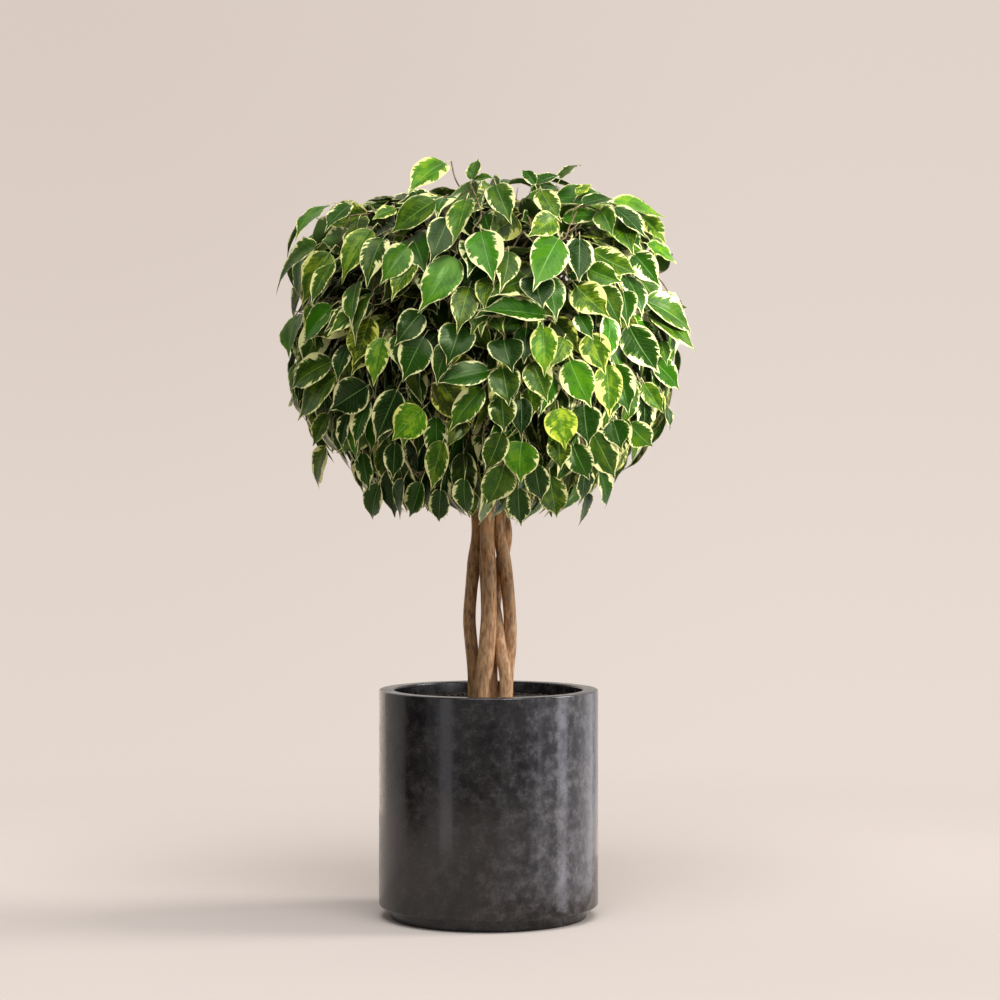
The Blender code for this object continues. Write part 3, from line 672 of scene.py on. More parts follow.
def turned(leaf, draw, attempt):
    """The leaf turned at random about its root, further with each attempt, and in the end made smaller."""
    way = shaken(leaf["way"], WAY_SPREAD + WAY_SPREAD_STEP * attempt, draw)
    facing = shaken(leaf["outward"], FACING_SPREAD, draw)
    made = dict(leaf)
    made["frame"] = leaf_frame(leaf["point"], way, facing, draw.gauss(0, ROLL_SPREAD))
    if attempt > TRIES // 2:
        made["length"] = leaf["length"] * SMALLER
    return made


def place_leaves(plan):
    """Gives each twig the leaves that it bears in the part."""
    obstacles = Crowd()
    for stem in STEMS:
        path = stem_path(stem)
        obstacles.add("stem", *tube(path, widened(stem_radii(stem, path)), STEM_SIDES))
    for twig in plan:
        obstacles.add("branch", *tube(twig["branch"], widened(BRANCH_RADII), CLEAR_SIDES))
        obstacles.add(twig["name"], *tube(twig["path"], widened(TWIG_RADII), CLEAR_SIDES))
        twig["leaves"] = []
    draw = random.Random(SEED + 1)
    wanted = [(twig, leaf) for twig in plan for leaf in leaves_of(twig, draw)]
    for twig, leaf in wanted:
        own_twig = tree_of(*tube(twig["path"], widened(TWIG_RADII), CLEAR_SIDES))
        for attempt in range(TRIES):
            made = turned(leaf, draw, attempt)
            if tree_of(*leaf_shape(made, CLEARANCE, stalk=False)).overlap(own_twig):
                continue
            around = leaf_shape(made, CLEARANCE)
            if not obstacles.meets(twig["name"], *around):
                obstacles.add("leaf", *around)
                twig["leaves"].append(made)
                break
    return plan


def outline_radius(height):
    """The crown's half width at a height in metres, or nothing above and below it."""
    z = height / MM
    if z <= OUTLINE[0][0] or z >= OUTLINE[-1][0]:
        return 0.0
    for (low, r_low), (high, r_high) in zip(OUTLINE, OUTLINE[1:]):
        if z <= high:
            return (r_low + (r_high - r_low) * (z - low) / (high - low)) * MM
    return 0.0


def outline_reach(elevation):
    """How far the crown's outline lies from its centre in this direction, in radians."""
    low, high = 0.02, 0.40
    for _ in range(24):
        middle = (low + high) / 2
        radius = outline_radius(CROWN_CENTRE.z + middle * math.sin(elevation))
        if middle * math.cos(elevation) < radius:
            low = middle
        else:
            high = middle
    return low


REACHES = [outline_reach(math.radians(e)) for e in range(-90, 91)]


def reach_towards(way):
    """The outline's distance from the crown's centre in the direction of a vector."""
    e = math.degrees(math.asin(max(-1, min(1, way.normalized().z)))) + 90
    low = min(int(e), 179)
    return REACHES[low] + (REACHES[low + 1] - REACHES[low]) * (e - low)


def outline_share(point):
    """How far out a point lies, as a share of the way from the crown's centre to its outline."""
    away = point - CROWN_CENTRE
    return away.length / reach_towards(away)


def seen_at(point):
    """The pixel at which the camera sees a point, and its depth."""
    depth = point.y - EYE.y
    across, upward = (point.x - EYE.x) * FOCAL / depth, (point.z - EYE.z) * FOCAL / depth
    return PICTURE / 2 + across, HORIZON - upward, depth


def point_seen(px, py, y):
    """The point at depth y that the camera sees at a pixel."""
    depth = y - EYE.y
    return Vector((EYE.x + (px - PICTURE / 2) * depth / FOCAL, y, EYE.z - (py - HORIZON) * depth / FOCAL))


def on_crown(px, py, share):
    """The point on the crown's front, at this share of its outline, that the camera sees at a pixel."""
    y = -0.2
    for _ in range(12):
        point = point_seen(px, py, y)
        x = point.x - CROWN_CENTRE.x
        radius = outline_radius(min(max(point.z, 0.455), 0.893)) * share
        wanted = -math.sqrt(max(radius * radius - x * x, 0))
        y += (wanted - y) * 0.6
    return point_seen(px, py, y)


def front_leaf(row):
    """A leaf of the table, set on the front of the crown where the camera sees it."""
    bx, by, tx, ty, seen_width, green, cream, yellow = row
    base = on_crown(bx, by, FRONT_BASE_SHARE)
    tip = on_crown(tx, ty, FRONT_TIP_SHARE)
    flat = (point_seen(tx, ty, base.y) - base).length
    depth = max(-FRONT_SLANT * flat, min(FRONT_SLANT * flat, tip.y - base.y))
    tip = point_seen(tx, ty, base.y + depth)
    chord = tip - base
    along = chord.normalized()
    toward = Vector((0, -1, 0))
    outward = (base - CROWN_CENTRE).normalized()
    scale = (base.y - EYE.y) / FOCAL
    # Folds and droops differ from leaf to leaf, by where each leaf stands.
    fold = FRONT_FOLD[0] + FRONT_FOLD[1] * ((bx * 7.3 + by * 3.1) % 1)
    droop = FRONT_DROOP[0] + FRONT_DROOP[1] * ((bx * 3.7 + by * 5.9) % 1)
    width = max(seen_width * scale / math.cos(fold), FRONT_NARROWEST * chord.length)
    roll = math.acos(min(1, seen_width * scale / math.cos(fold) / width)) * 0.92
    facing = (toward - toward.dot(along) * along).normalized()
    turns = [Matrix.Rotation(angle, 3, along) @ facing for angle in (roll, -roll)]
    up = max(turns, key=lambda way: way.dot(outward + Vector((0, 0, 0.6))))
    start = (along * math.cos(droop * BLADE_MIDDLE) + up * math.sin(droop * BLADE_MIDDLE)).normalized()
    up = (up - up.dot(start) * start).normalized()
    length = chord.length / (1 - STALK_SHARE) * 1.01
    foot = base - start * length * STALK_SHARE
    return {
        "frame": (start.cross(up), start, up, foot),
        "length": length,
        "droop": droop,
        "fold": fold,
        "width": width / length,
        "look": (green, cream, yellow),
        "front": True,
    }


def inside_edge(px, py):
    """Whether a pixel lies within the crown's outline in the picture."""
    x, y = px - EDGE_MIDDLE[0], EDGE_MIDDLE[1] - py
    turn = math.degrees(math.atan2(y, x)) % 360 * len(EDGE) / 360
    low = int(turn) % len(EDGE)
    after = (low + 1) % len(EDGE)
    return math.hypot(x, y) <= EDGE[low] + (EDGE[after] - EDGE[low]) * (turn - int(turn))


def clump(way):
    """How far the leaves reach out in this direction, as a share of the outline."""
    reach = CLUMP_REACH["low" if way.z < CLUMP_LOW_FROM else "high"]
    return reach + CLUMP_DEPTH * noise.noise(way * CLUMP_SCALE)


class FrontMap:
    """For each pixel, how deep the nearest front leaf lies or a gap goes, to keep what is before it free."""

    def __init__(self):
        self.depth = np.full((PICTURE, PICTURE), NO_LEAF)
        for px, py, wide, high, share in GAPS:
            depth = on_crown(px, py, share).y - EYE.y if share else SEE_THROUGH
            rows, columns = np.ogrid[:PICTURE, :PICTURE]
            inside = ((columns - px) / wide) ** 2 + ((rows - py) / high) ** 2 <= 1
            self.depth[inside] = depth

    @staticmethod
    def spots(leaf):
        """Points spread over the leaf's blade."""
        side, along, up, foot = leaf["frame"]
        half = leaf["length"] * leaf.get("width", LEAF_WIDTH_SHARE) / 2
        for u, share in SPOT_ROWS:
            forward, drop = arch(leaf, u)
            for a in SPOT_COLUMNS:
                yield foot + side * (half * share * a) + along * forward - up * drop

    def add(self, leaf):
        for spot in self.spots(leaf):
            x, y, depth = seen_at(spot)
            x, y = int(x), int(y)
            box = self.depth[y - 3 : y + 4, x - 3 : x + 4]
            np.minimum(box, depth, out=box)

    def hidden_share(self, leaf):
        """The share of the leaf's spots that would hide a front leaf or a gap, or lie outside the outline."""
        wrong = 0
        for spot in self.spots(leaf):
            x, y, depth = seen_at(spot)
            before = depth < self.depth[int(y), int(x)] - 0.5 * MM < NO_LEAF / 10
            wrong += before or not inside_edge(x, y)
        return wrong / (len(SPOT_ROWS) * len(SPOT_COLUMNS))


def place_front_leaves(crowd, front):
    """Sets the leaves of the table, each moved back along the line of sight until it is clear."""
    made = []
    for row in FRONT_LEAVES:
        leaf = front_leaf(row)
        side, along, up, foot = leaf["frame"]
        sight = (foot - EYE).normalized()
        for step in range(FRONT_STEPS):
            leaf["frame"] = (side, along, up, foot + sight * step * FRONT_STEP)
            shape = leaf_shape(leaf, CLEARANCE / 2)
            if not crowd.meets("", *shape):
                break
        crowd.add("leaf", *shape)
        front.add(leaf)
        made.append(leaf)
    return made


def hung(leaf):
    """A low leaf as its own weight hangs it: down from its foot, with its face turned outward."""
    side, along, up, foot = leaf["frame"]
    level = Vector((foot.x, foot.y, 0)).normalized()
    down = (along * 0.35 + level * 0.12 + Vector((0, 0, -1))).normalized()
    return {**leaf, "frame": leaf_frame(foot, down, level + up * 0.3, 0), "width": 0.44}


def fill_way(draw, e, out):
    """The direction of a fill leaf at an elevation, and the way that its upper face is turned."""
    level = Vector((out.x, out.y, 0)).normalized()
    down = Vector((0, 0, -1))
    hang = (down - down.dot(out) * out + level * (0.15 + 0.55 * max(0.0, math.sin(e)))).normalized()
    flow = FILL_FLOW["turn"] * noise.noise(out * FILL_FLOW["scale"] + Vector((7, 0, 0)))
    spin = Matrix.Rotation(flow + draw.gauss(0, FILL_SPIN), 3, out)
    lift = draw.uniform(*FILL_LIFT)
    along = ((spin @ hang) * math.cos(lift) + out * math.sin(lift)).normalized()
    facing = out
    if e < LOW_FROM:
        along = (along * 0.3 + down + level * draw.uniform(-0.05, 0.45)).normalized()
        facing = (out * 0.2 + level).normalized()
    return along, shaken(facing + Vector((0, 0, 0.30)), FILL_FACING, draw)


def fill_leaf(draw, lowest, highest):
    """A leaf somewhere in the crown, hanging outward like a shingle. Low ones are set by their tips."""
    e = math.asin(draw.uniform(math.sin(math.radians(lowest)), math.sin(math.radians(highest))))
    out = direction(e, draw.uniform(0, math.tau))
    low, high = draw.choices(FILL_LAYERS, FILL_LAYER_CHANCES)[0]
    along, facing = fill_way(draw, e, out)
    length = draw.uniform(*FILL_LENGTHS)
    reach = reach_towards(out) * clump(out)
    if e < LOW_FROM:
        tip = CROWN_CENTRE + out * reach * draw.uniform(low + LOW_OUTWARD, high + LOW_OUTWARD)
        base = tip - along * length * (1 - STALK_SHARE)
    else:
        base = CROWN_CENTRE + out * reach * draw.uniform(low, high)
    side, along, up, _ = leaf_frame(base, along, facing, draw.gauss(0, FILL_ROLL))
    return {
        "frame": (side, along, up, base - along * length * STALK_SHARE),
        "length": length,
        "droop": draw.uniform(*FILL_DROOPS),
        "fold": draw.uniform(*FOLDS),
        "width": draw.uniform(*WIDTHS["low" if e < LOW_FROM else "high"]),
    }


def rim_leaf(draw):
    """A leaf at the side of the crown as it is seen, pointing outward and down to its outline."""
    turn = draw.choice([draw.uniform(*turns) for turns in RIM_TURNS])
    low = int(turn / 360 * len(EDGE))
    reach = min(EDGE[low], EDGE[(low + 1) % len(EDGE)]) * draw.uniform(*RIM_SHARES)
    t = math.radians(turn)
    px, py = EDGE_MIDDLE[0] + reach * math.cos(t), EDGE_MIDDLE[1] - reach * math.sin(t)
    tip = point_seen(px, py, draw.gauss(0, RIM_DEPTH))
    out = Vector((math.cos(t), 0, math.sin(t)))
    level = Vector((math.cos(t), 0, 0))
    sideways, hang = (0.9, draw.uniform(0.5, 1.1)) if out.z > RIM_LOW_FROM else (0.5, 1.2)
    along = out * 0.25 + level * draw.uniform(0, sideways) + Vector((0, 0, -hang))
    along = shaken(along.normalized(), 0.18, draw)
    length = draw.uniform(*FILL_LENGTHS)
    droop = draw.uniform(*RIM_DROOPS)
    facing = shaken(level + Vector((0, -0.5, 0.55)), 0.5, draw)
    side, along, up, _ = leaf_frame(tip, along, facing, draw.gauss(0, 0.5))
    chord = along * length * math.sin(droop) / droop - up * length * (1 - math.cos(droop)) / droop
    return {
        "frame": (side, along, up, tip - chord),
        "length": length,
        "droop": droop,
        "fold": draw.uniform(*FOLDS),
        "width": draw.uniform(*RIM_WIDTHS["high" if out.z > RIM_LOW_FROM else "low"]),
    }


def tip_of(leaf):
    length, droop = leaf["length"], leaf["droop"]
    side, along, up, foot = leaf["frame"]
    return foot + along * length * math.sin(droop) / droop - up * length * (1 - math.cos(droop)) / droop


def settled(leaf, crowd, front):
    """Whether there is room for the leaf. It joins the crowd if there is."""
    foot = leaf["frame"][3]
    if foot.z < TRUNK_TOP and math.hypot(foot.x, foot.y) < TRUNK_ROOM:
        return False
    if front.hidden_share(leaf) > MOST_HIDDEN:
        return False
    shape = leaf_shape(leaf, CLEARANCE / 2)
    if crowd.meets("", *shape):
        return False
    crowd.add("leaf", *shape)
    return True


def place_rim(crowd, front, share):
    """Sets leaves round the crown's outline as it is seen, so that their tips make it ragged."""
    draw = random.Random(FILL_SEED + 2)
    made = []
    for _ in range(int(RIM_TRIES * share)):
        leaf = rim_leaf(draw)
        if len(made) >= RIM_LEAVES * share or outline_share(leaf["frame"][3]) > RIM_FOOT_REACH:
            continue
        if outline_share(tip_of(leaf)) <= RIM_TIP_REACH and settled(leaf, crowd, front):
            made.append(leaf)
    return made


def place_fill(crowd, front, share):
    """Fills the crown in stages, each until it has this share of its leaves."""
    draw = random.Random(FILL_SEED)
    made = []
    for lowest, highest, count in FILL_STAGES:
        wanted = len(made) + count * share
        for _ in range(int(count * FILL_TRIES * share)):
            if len(made) >= wanted:
                break
            leaf = fill_leaf(draw, lowest, highest)
            foot, tip = leaf["frame"][3], tip_of(leaf)
            limit = clump((tip - CROWN_CENTRE).normalized()) + FILL_REACH
            if max(outline_share(tip), outline_share(foot)) <= limit and settled(leaf, crowd, front):
                made.append(leaf)
    return made


def add_looks(leaves, draw):
    """Gives each leaf its green, its cream margin and its yellow, the seed of its pattern, and painted light
    and
    shade: leaves on the right are painted brighter, and those deep in the crown are painted darker.
    """
    for leaf in leaves:
        if "look" not in leaf:
            # Painted light: leaves further to the right are painted a brighter green; they get more cream
            # there too, partly the leaves' own variegation and partly painted light.
            side = leaf["frame"][3].x / SHELL_HALF_WIDTH
            green = min(1.0, max(0.0, draw.gauss(0.36 + 0.22 * side, 0.30)))
            cream = min(1.0, max(0.1, draw.gauss(0.50 + 0.14 * side, 0.26)))
            yellow = max(0.0, draw.gauss(0.08, 0.22))
            leaf["look"] = (green, cream, min(0.6, yellow))
        leaf["seed"] = draw.random()
        leaf["wave"] = (draw.uniform(0.4, 1.6), draw.uniform(1.5, 2.6), draw.uniform(0, math.tau))
        leaf["sway"] = draw.gauss(0, 0.07)
        # Painted shade: leaves that lie deeper inside the crown than its outer layer are painted darker, by
        # this share.
        middle = leaf["frame"][3].lerp(tip_of(leaf), 0.5)
        leaf["deep"] = 0.0 if "front" in leaf else min(1.0, max(0.0, (0.90 - outline_share(middle)) / 0.28))


def blade_faces():
    """The faces of a blade, with the place of each corner on the leaf and which of them are underneath."""
    wide, inner = len(COLUMNS), len(COLUMNS) - 2
    rows = len(BLADE)
    step = wide + inner

    def top(r, c):
        return 1 + r * step + c

    def low(r, c):
        return top(r, c) if c in (0, wide - 1) else 1 + r * step + wide + c - 1

    def mark(r, c):
        return (0.5 + 0.5 * COLUMNS[c], BLADE[r][0])

    tip = 1 + rows * step
    faces, marks, under = [], [], []
    for c in range(wide - 1):
        middle = 0.5 + 0.25 * (COLUMNS[c] + COLUMNS[c + 1])
        faces += [(0, top(0, c + 1), top(0, c)), (0, low(0, c), low(0, c + 1))]
        marks += [[(middle, 0), mark(0, c + 1), mark(0, c)], [(middle, 0), mark(0, c), mark(0, c + 1)]]
        under += [0, 1]
        for r in range(rows - 1):
            faces.append((top(r, c), top(r, c + 1), top(r + 1, c + 1), top(r + 1, c)))
            marks.append([mark(r, c), mark(r, c + 1), mark(r + 1, c + 1), mark(r + 1, c)])
            faces.append((low(r, c), low(r + 1, c), low(r + 1, c + 1), low(r, c + 1)))
            marks.append([mark(r, c), mark(r + 1, c), mark(r + 1, c + 1), mark(r, c + 1)])
            under += [0, 1]
        last = rows - 1
        here, after, end = mark(last, c), mark(last, c + 1), (middle, 1)
        faces += [(top(last, c), top(last, c + 1), tip), (low(last, c), tip, low(last, c + 1))]
        marks += [[here, after, end], [here, end, after]]
        under += [0, 1]
    return faces, marks, under


BLADE_FACES, BLADE_MARKS, BLADE_UNDER = blade_faces()


def blade_points(leaf):
    """The corners of the leaf's blade: folded, arched, waved at its margin and drawn out to a thin tip."""
    length, fold = leaf["length"], leaf["fold"]
    width = leaf.get("width", LEAF_WIDTH_SHARE)
    side, along, up, foot = leaf["frame"]
    height, rate, phase = leaf["wave"]

    def spot(v, a, share, lower):
        u = STALK_SHARE + (1 - STALK_SHARE) * v
        half = share * length * width / 2
        forward, drop = arch(leaf, u)
        curl = max(0.0, v - 0.75) ** 2 * length * 1.6 * (leaf["seed"] - 0.3)
        lift = half * abs(a) * math.tan(fold) * (1.15 - 0.35 * abs(a))
        lift += height * MM * a * a * share * math.sin(math.tau * rate * v + phase + (1.4 if a > 0 else 0))
        thick = BLADE_THICK / 2 * (1 - a * a) * (1 if not lower else -1)
        across = half * a + leaf["sway"] * length * v * v
        return foot + side * across + along * forward + up * (lift - drop - curl + thick)

    points = [spot(0, 0, 0, False)]
    for v, share in BLADE:
        points += [spot(v, a, share, False) for a in COLUMNS]
        points += [spot(v, a, share, True) for a in COLUMNS[1:-1]]
    points.append(spot(1, 0, 0, False))
    return points


class Spray:
    """Gathers the corners, faces and markings of one leafy piece."""

    def __init__(self):
        self.points, self.faces, self.marks, self.looks = [], [], [], []
        self.kinds, self.slots, self.cells = [], [], []
        self.cell = 0

    def add_blade(self, leaf):
        start = len(self.points)
        self.points += blade_points(leaf)
        green, cream, yellow = leaf["look"]
        for face, marks, under in zip(BLADE_FACES, BLADE_MARKS, BLADE_UNDER):
            self.faces.append([start + i for i in face])
            self.marks.append(marks)
            self.looks.append((green, cream, leaf["seed"]))
            # A blade's kind holds its yellow, whether the face is underneath, and its painted shade.
            self.kinds.append((yellow, under, leaf["deep"]))
            self.slots.append(0)
            self.cells.append(self.cell + under)
        self.cell += 2

    def add_stalk(self, path, radii, sides, age):
        """A tube of bark. Its age is 0 for a green leaf stalk and 1 for old wood."""
        start = len(self.points)
        vertices, faces = tube(path, radii, sides)
        self.points += vertices
        rows = len(path) - 1
        for number, face in enumerate(faces):
            self.faces.append([start + i for i in face])
            if len(face) == 4 and number < rows * sides:
                row, side = divmod(number, sides)
                low, high = row / rows, (row + 1) / rows
                left, right = side / sides, (side + 1) / sides
                self.marks.append([(left, low), (right, low), (right, high), (left, high)])
            else:
                corners = range(len(face))
                self.marks.append([(0.5 + 0.01 * math.cos(i), 0.5 + 0.01 * math.sin(i)) for i in corners])
            self.looks.append((age, 0.5, (start * 0.37) % 1))
            self.kinds.append((0, 0, 0))
            self.slots.append(1)
            self.cells.append(self.cell)
        self.cell += 1

    def build(self, name, materials):
        mesh = bpy.data.meshes.new(name)
        mesh.from_pydata([tuple(p) for p in self.points], [], self.faces)
        for material in materials:
            mesh.materials.append(material)
        mesh.polygons.foreach_set("material_index", self.slots)
        mesh.polygons.foreach_set("use_smooth", [True] * len(self.faces))
        corners = [mark for marks in self.marks for mark in marks]
        mesh.uv_layers.new(name="leaf").data.foreach_set("uv", np.array(corners, np.float32).ravel())
        grid = math.ceil(math.sqrt(self.cell))
        baked = []
        for marks, cell in zip(self.marks, self.cells):
            row, column = divmod(cell, grid)
            baked += [((column + 0.04 + 0.92 * u) / grid, (row + 0.04 + 0.92 * v) / grid) for u, v in marks]
        mesh.uv_layers.new(name="OFBake").data.foreach_set("uv", np.array(baked, np.float32).ravel())
        for attribute, values in (("look", self.looks), ("kind", self.kinds)):
            made = mesh.attributes.new(attribute, "FLOAT_VECTOR", "FACE")
            made.data.foreach_set("vector", np.array(values, np.float32).ravel())
        sharp_rims(mesh)
        return placed(name, mesh)


def placed(name, data):
    """An object made of this mesh, lamp or camera, put into the scene."""
    obj = bpy.data.objects.new(name, data)
    bpy.context.scene.collection.objects.link(obj)
    return obj


def mesh_of(name, bm):
    mesh = bpy.data.meshes.new(name)
    bm.to_mesh(mesh)
    bm.free()
    return mesh


def sharp_rims(mesh):
    """Marks the edges where a blade's upper and under face meet, so that each is shaded by itself."""
    mesh.update()
    bm = bmesh.new()
    bm.from_mesh(mesh)
    kind = bm.faces.layers.float_vector["kind"]
    for edge in bm.edges:
        faces = edge.link_faces
        if len(faces) == 2 and faces[0][kind].y != faces[1][kind].y:
            edge.smooth = False
    bm.to_mesh(mesh)
    bm.free()


def nearest_on(path, point):
    """The share along a path that lies nearest to a point, and how far away it is."""
    best = (0, 1e9)
    for k in range(25):
        share = k / 24
        away = (along_path(path, share)[0] - point).length
        if away < best[1]:
            best = (share, away)
    return best


def side_twigs(twig, leaves):
    """Joins leaves to their twig by side twigs that bear a few each and run out behind their feet."""
    axis = (twig["path"][-1] - twig["path"][0]).normalized()
    across = axis.orthogonal().normalized()
    third = axis.cross(across)

    def angle(leaf):
        away = leaf["frame"][3] - along_path(twig["path"], 0.5)[0]
        return math.atan2(away.dot(third), away.dot(across))

    ordered = sorted(leaves, key=angle)
    for k in range(0, len(ordered), SIDE_TWIG_LEAVES):
        group = ordered[k : k + SIDE_TWIG_LEAVES]
        group.sort(key=lambda leaf: nearest_on(twig["path"], leaf["frame"][3])[1])
        share = nearest_on(twig["path"], group[0]["frame"][3])[0]
        points = [along_path(twig["path"], max(0.02, share - 0.22))[0]]
        for leaf in group:
            foot = leaf["frame"][3]
            behind = foot + (CROWN_CENTRE - foot).normalized() * TWIG_BEHIND
            yield "leaf", [behind, foot]
            if len(points) > 1 and (behind - points[-1]).length > LONG_REACH:
                middle = points[-1].lerp(behind, 0.5)
                points.append(middle + (CROWN_CENTRE - middle).normalized() * TWIG_BEHIND)
            points.append(behind)
        yield "twig", smooth_path(points, 4)


def used_part(twig, stalks):
    """The twig's own path as far as the last leaf or side twig that it bears."""
    borne = [leaf["frame"][3] for leaf in twig["leaves"]]
    borne += [path[0] for kind, path in stalks if kind == "twig"] + [path[0] for path, _ in twig["shown"]]
    last = max([0.5] + [nearest_on(twig["path"], place)[0] for place in borne])
    return [along_path(twig["path"], last * k / 6)[0] for k in range(7)]


def nearest_twig(plan, place):
    return min(plan, key=lambda twig: min((place - point).length for point in twig["path"]))


def shown_twigs(plan):
    """Gives each twig of the table to the leafy piece nearest to it, joined to that piece's own twig."""
    for radius, share, *pixels in SHOWN_TWIGS:
        points = [on_crown(px, py, share) for px, py in pixels]
        bearer = nearest_twig(plan, points[0])
        root = along_path(bearer["path"], nearest_on(bearer["path"], points[0])[0])[0]
        bearer["shown"].append((smooth_path([root, *points], 4), radius * MM))


def bend_tall_shoot(leaf, plan):
    """Bends the tallest twig over to the leaf that stands off at the top, which it carries at its end."""
    shoot = next(twig for twig in plan if twig["upright"] and twig["stem"] == TALL_SHOOT["stem"])
    foot = leaf["frame"][3]
    shoot["path"] = [*shoot["path"][:2], *[point_seen(px, py, foot.y) for px, py in STRAY_TWIG], foot]
    shoot["extra"] += shoot["leaves"]
    shoot["leaves"] = [leaf]


def build_sprays(plan, extra, materials):
    """One leafy piece for each of the part's, with the added leaves that grow nearest to it."""
    for twig in plan:
        twig["extra"], twig["shown"] = [], []
    shown_twigs(plan)
    bend_tall_shoot(extra[STRAY_LEAF], plan)
    for leaf in extra[STRAY_LEAF + 1 :]:
        nearest_twig(plan, leaf["frame"][3])["extra"].append(leaf)
    draw = random.Random(FILL_SEED + 1)
    for twig in plan:
        spray = Spray()
        add_looks(twig["leaves"] + twig["extra"], draw)
        stalks = list(side_twigs(twig, twig["extra"]))
        spray.add_stalk(smooth_path(used_part(twig, stalks), 5), (TWIG_RADII[0], 0.8 * MM), 8, 0.8)
        for path, radius in twig["shown"]:
            spray.add_stalk(path, (radius, radius * 0.7), 6, 0.9)
        for kind, path in stalks:
            if kind == "twig":
                spray.add_stalk(path, SIDE_TWIG_RADII, 5, 0.6)
            else:
                spray.add_stalk(path, (PETIOLE_RADIUS, PETIOLE_RADIUS), 5, 0.3)
        for leaf in twig["leaves"] + twig["extra"]:
            spray.add_blade(leaf)
            side, along, up, foot = leaf["frame"]
            neck = foot + along * leaf["length"] * (STALK_SHARE + 0.03)
            bend = foot.lerp(neck, 0.5) + up * 0.6 * MM
            spray.add_stalk([foot, bend, neck], (PETIOLE_RADIUS, PETIOLE_RADIUS * 0.8), 5, 0.0)
        piece = spray.build(twig["name"].replace("spray", "foliage"), materials)
        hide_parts(twig["name"])
        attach(piece, "root")


class Nodes:
    """Adds nodes to a node tree."""

    def __init__(self, tree):
        self.tree = tree

    def feed(self, socket, value):
        if isinstance(value, bpy.types.NodeSocket):
            self.tree.links.new(value, socket)
        else:
            socket.default_value = value

    def node(self, kind, inputs, output=0, **settings):
        made = self.tree.nodes.new(f"ShaderNode{kind}")
        for key, value in settings.items():
            setattr(made, key, value)
        for key, value in inputs.items():
            self.feed(made.inputs[key], value)
        return made.outputs[output]

    def math(self, operation, a, b=0.0, c=0.0):
        return self.node("Math", {0: a, 1: b, 2: c}, operation=operation)

    def times(self, a, b):
        return self.math("MULTIPLY", a, b)

    def step(self, value, start, end, low=0.0, high=1.0):
        """Rises smoothly from low to high as the value goes from start to end."""
        inputs = {"Value": value, "From Min": start, "From Max": end, "To Min": low, "To Max": high}
        return self.node("MapRange", inputs, interpolation_type="SMOOTHSTEP")

    def blend(self, share, a, b):
        return self.node("Mix", {0: share, 6: a, 7: b}, output=2, data_type="RGBA")

    def noise(self, vector, scale, detail=2.0, roughness=0.5):
        inputs = {"Vector": vector, "Scale": scale, "Detail": detail, "Roughness": roughness}
        return self.node("TexNoise", inputs)

    def vector(self, x, y, z=0.0):
        return self.node("CombineXYZ", {0: x, 1: y, 2: z})

    def split(self, vector):
        """The three parts of a vector."""
        parts = self.tree.nodes.new("ShaderNodeSeparateXYZ")
        self.feed(parts.inputs[0], vector)
        return parts.outputs

    def attribute(self, name):
        """The three parts of an attribute of the mesh."""
        return self.split(self.node("Attribute", {}, output=1, attribute_name=name))

    def bump(self, height, strength, distance):
        return self.node("Bump", {"Height": height, "Strength": strength, "Distance": distance})

    def coordinates(self):
        return self.node("TexCoord", {}, output=3)


class Shading(Nodes):
    """A material and the nodes that feed its shader."""

    def __init__(self, name):
        self.material = bpy.data.materials.new(name)
        self.material.use_nodes = True
        super().__init__(self.material.node_tree)
        self.shader = self.tree.nodes["Principled BSDF"]

    def set(self, **inputs):
        """Feeds the shader's inputs, and gives the material."""
        for key, value in inputs.items():
            self.feed(self.shader.inputs[key.replace("_", " ")], value)
        return self.material


def rgb(red, green, blue):
    """A display colour as the shader's linear one."""
    shares = [v / 255 for v in (red, green, blue)]
    return (*[((v + 0.055) / 1.055) ** 2.4 if v > 10 / 255 else v / 12.92 for v in shares], 1)


def leaf_sockets(s):
    """Where a point lies on its leaf, and the leaf's green, which holds painted light, its cream, yellow,
    pattern and painted shade.
    """
    leaf = SimpleNamespace()
    place, leaf.along, _ = s.split(s.node("UVMap", {}, uv_map="leaf"))
    leaf.signed = s.math("MULTIPLY_ADD", place, 2.0, -1.0)
    leaf.across, hand = s.math("ABSOLUTE", leaf.signed), s.math("SIGN", leaf.signed)
    leaf.green, leaf.cream, seed = s.attribute("look")
    # The third part of the kind is the leaf's painted shade, for leaves deep in the crown.
    leaf.yellow, leaf.under, leaf.deep = s.attribute("kind")
    leaf.shift = s.times(seed, 57.0)
    leaf.lane = s.math("ADD", leaf.shift, s.times(hand, 3.3))
    # Side veins run outward and on towards the tip, and this is the same all along one.
    leaf.vein = s.math("SUBTRACT", leaf.along, s.times(leaf.across, 0.22))
    return leaf


def leaf_margin(s, leaf):
    """How far a point lies past the inner edge of the cream, which has teeth that follow the side veins."""
    fine = s.noise(s.vector(s.times(leaf.vein, 17.0), leaf.lane, s.times(leaf.across, 1.1)), 1.0, 2.0)
    broad = s.noise(s.vector(s.times(leaf.vein, 4.2), leaf.lane, leaf.shift), 1.0, 1.0)
    teeth, patch = s.step(fine, 0.46, 0.60), s.step(broad, 0.48, 0.68)
    reach = s.math("MULTIPLY_ADD", teeth, 0.34, s.times(patch, 0.60))
    inward = s.math("MULTIPLY_ADD", reach, leaf.cream, 0.028)
    inward = s.math("ADD", inward, s.step(leaf.along, 0.78, 0.93, 0.0, 0.3))
    return s.math("SUBTRACT", leaf.across, s.math("SUBTRACT", 1.0, inward))


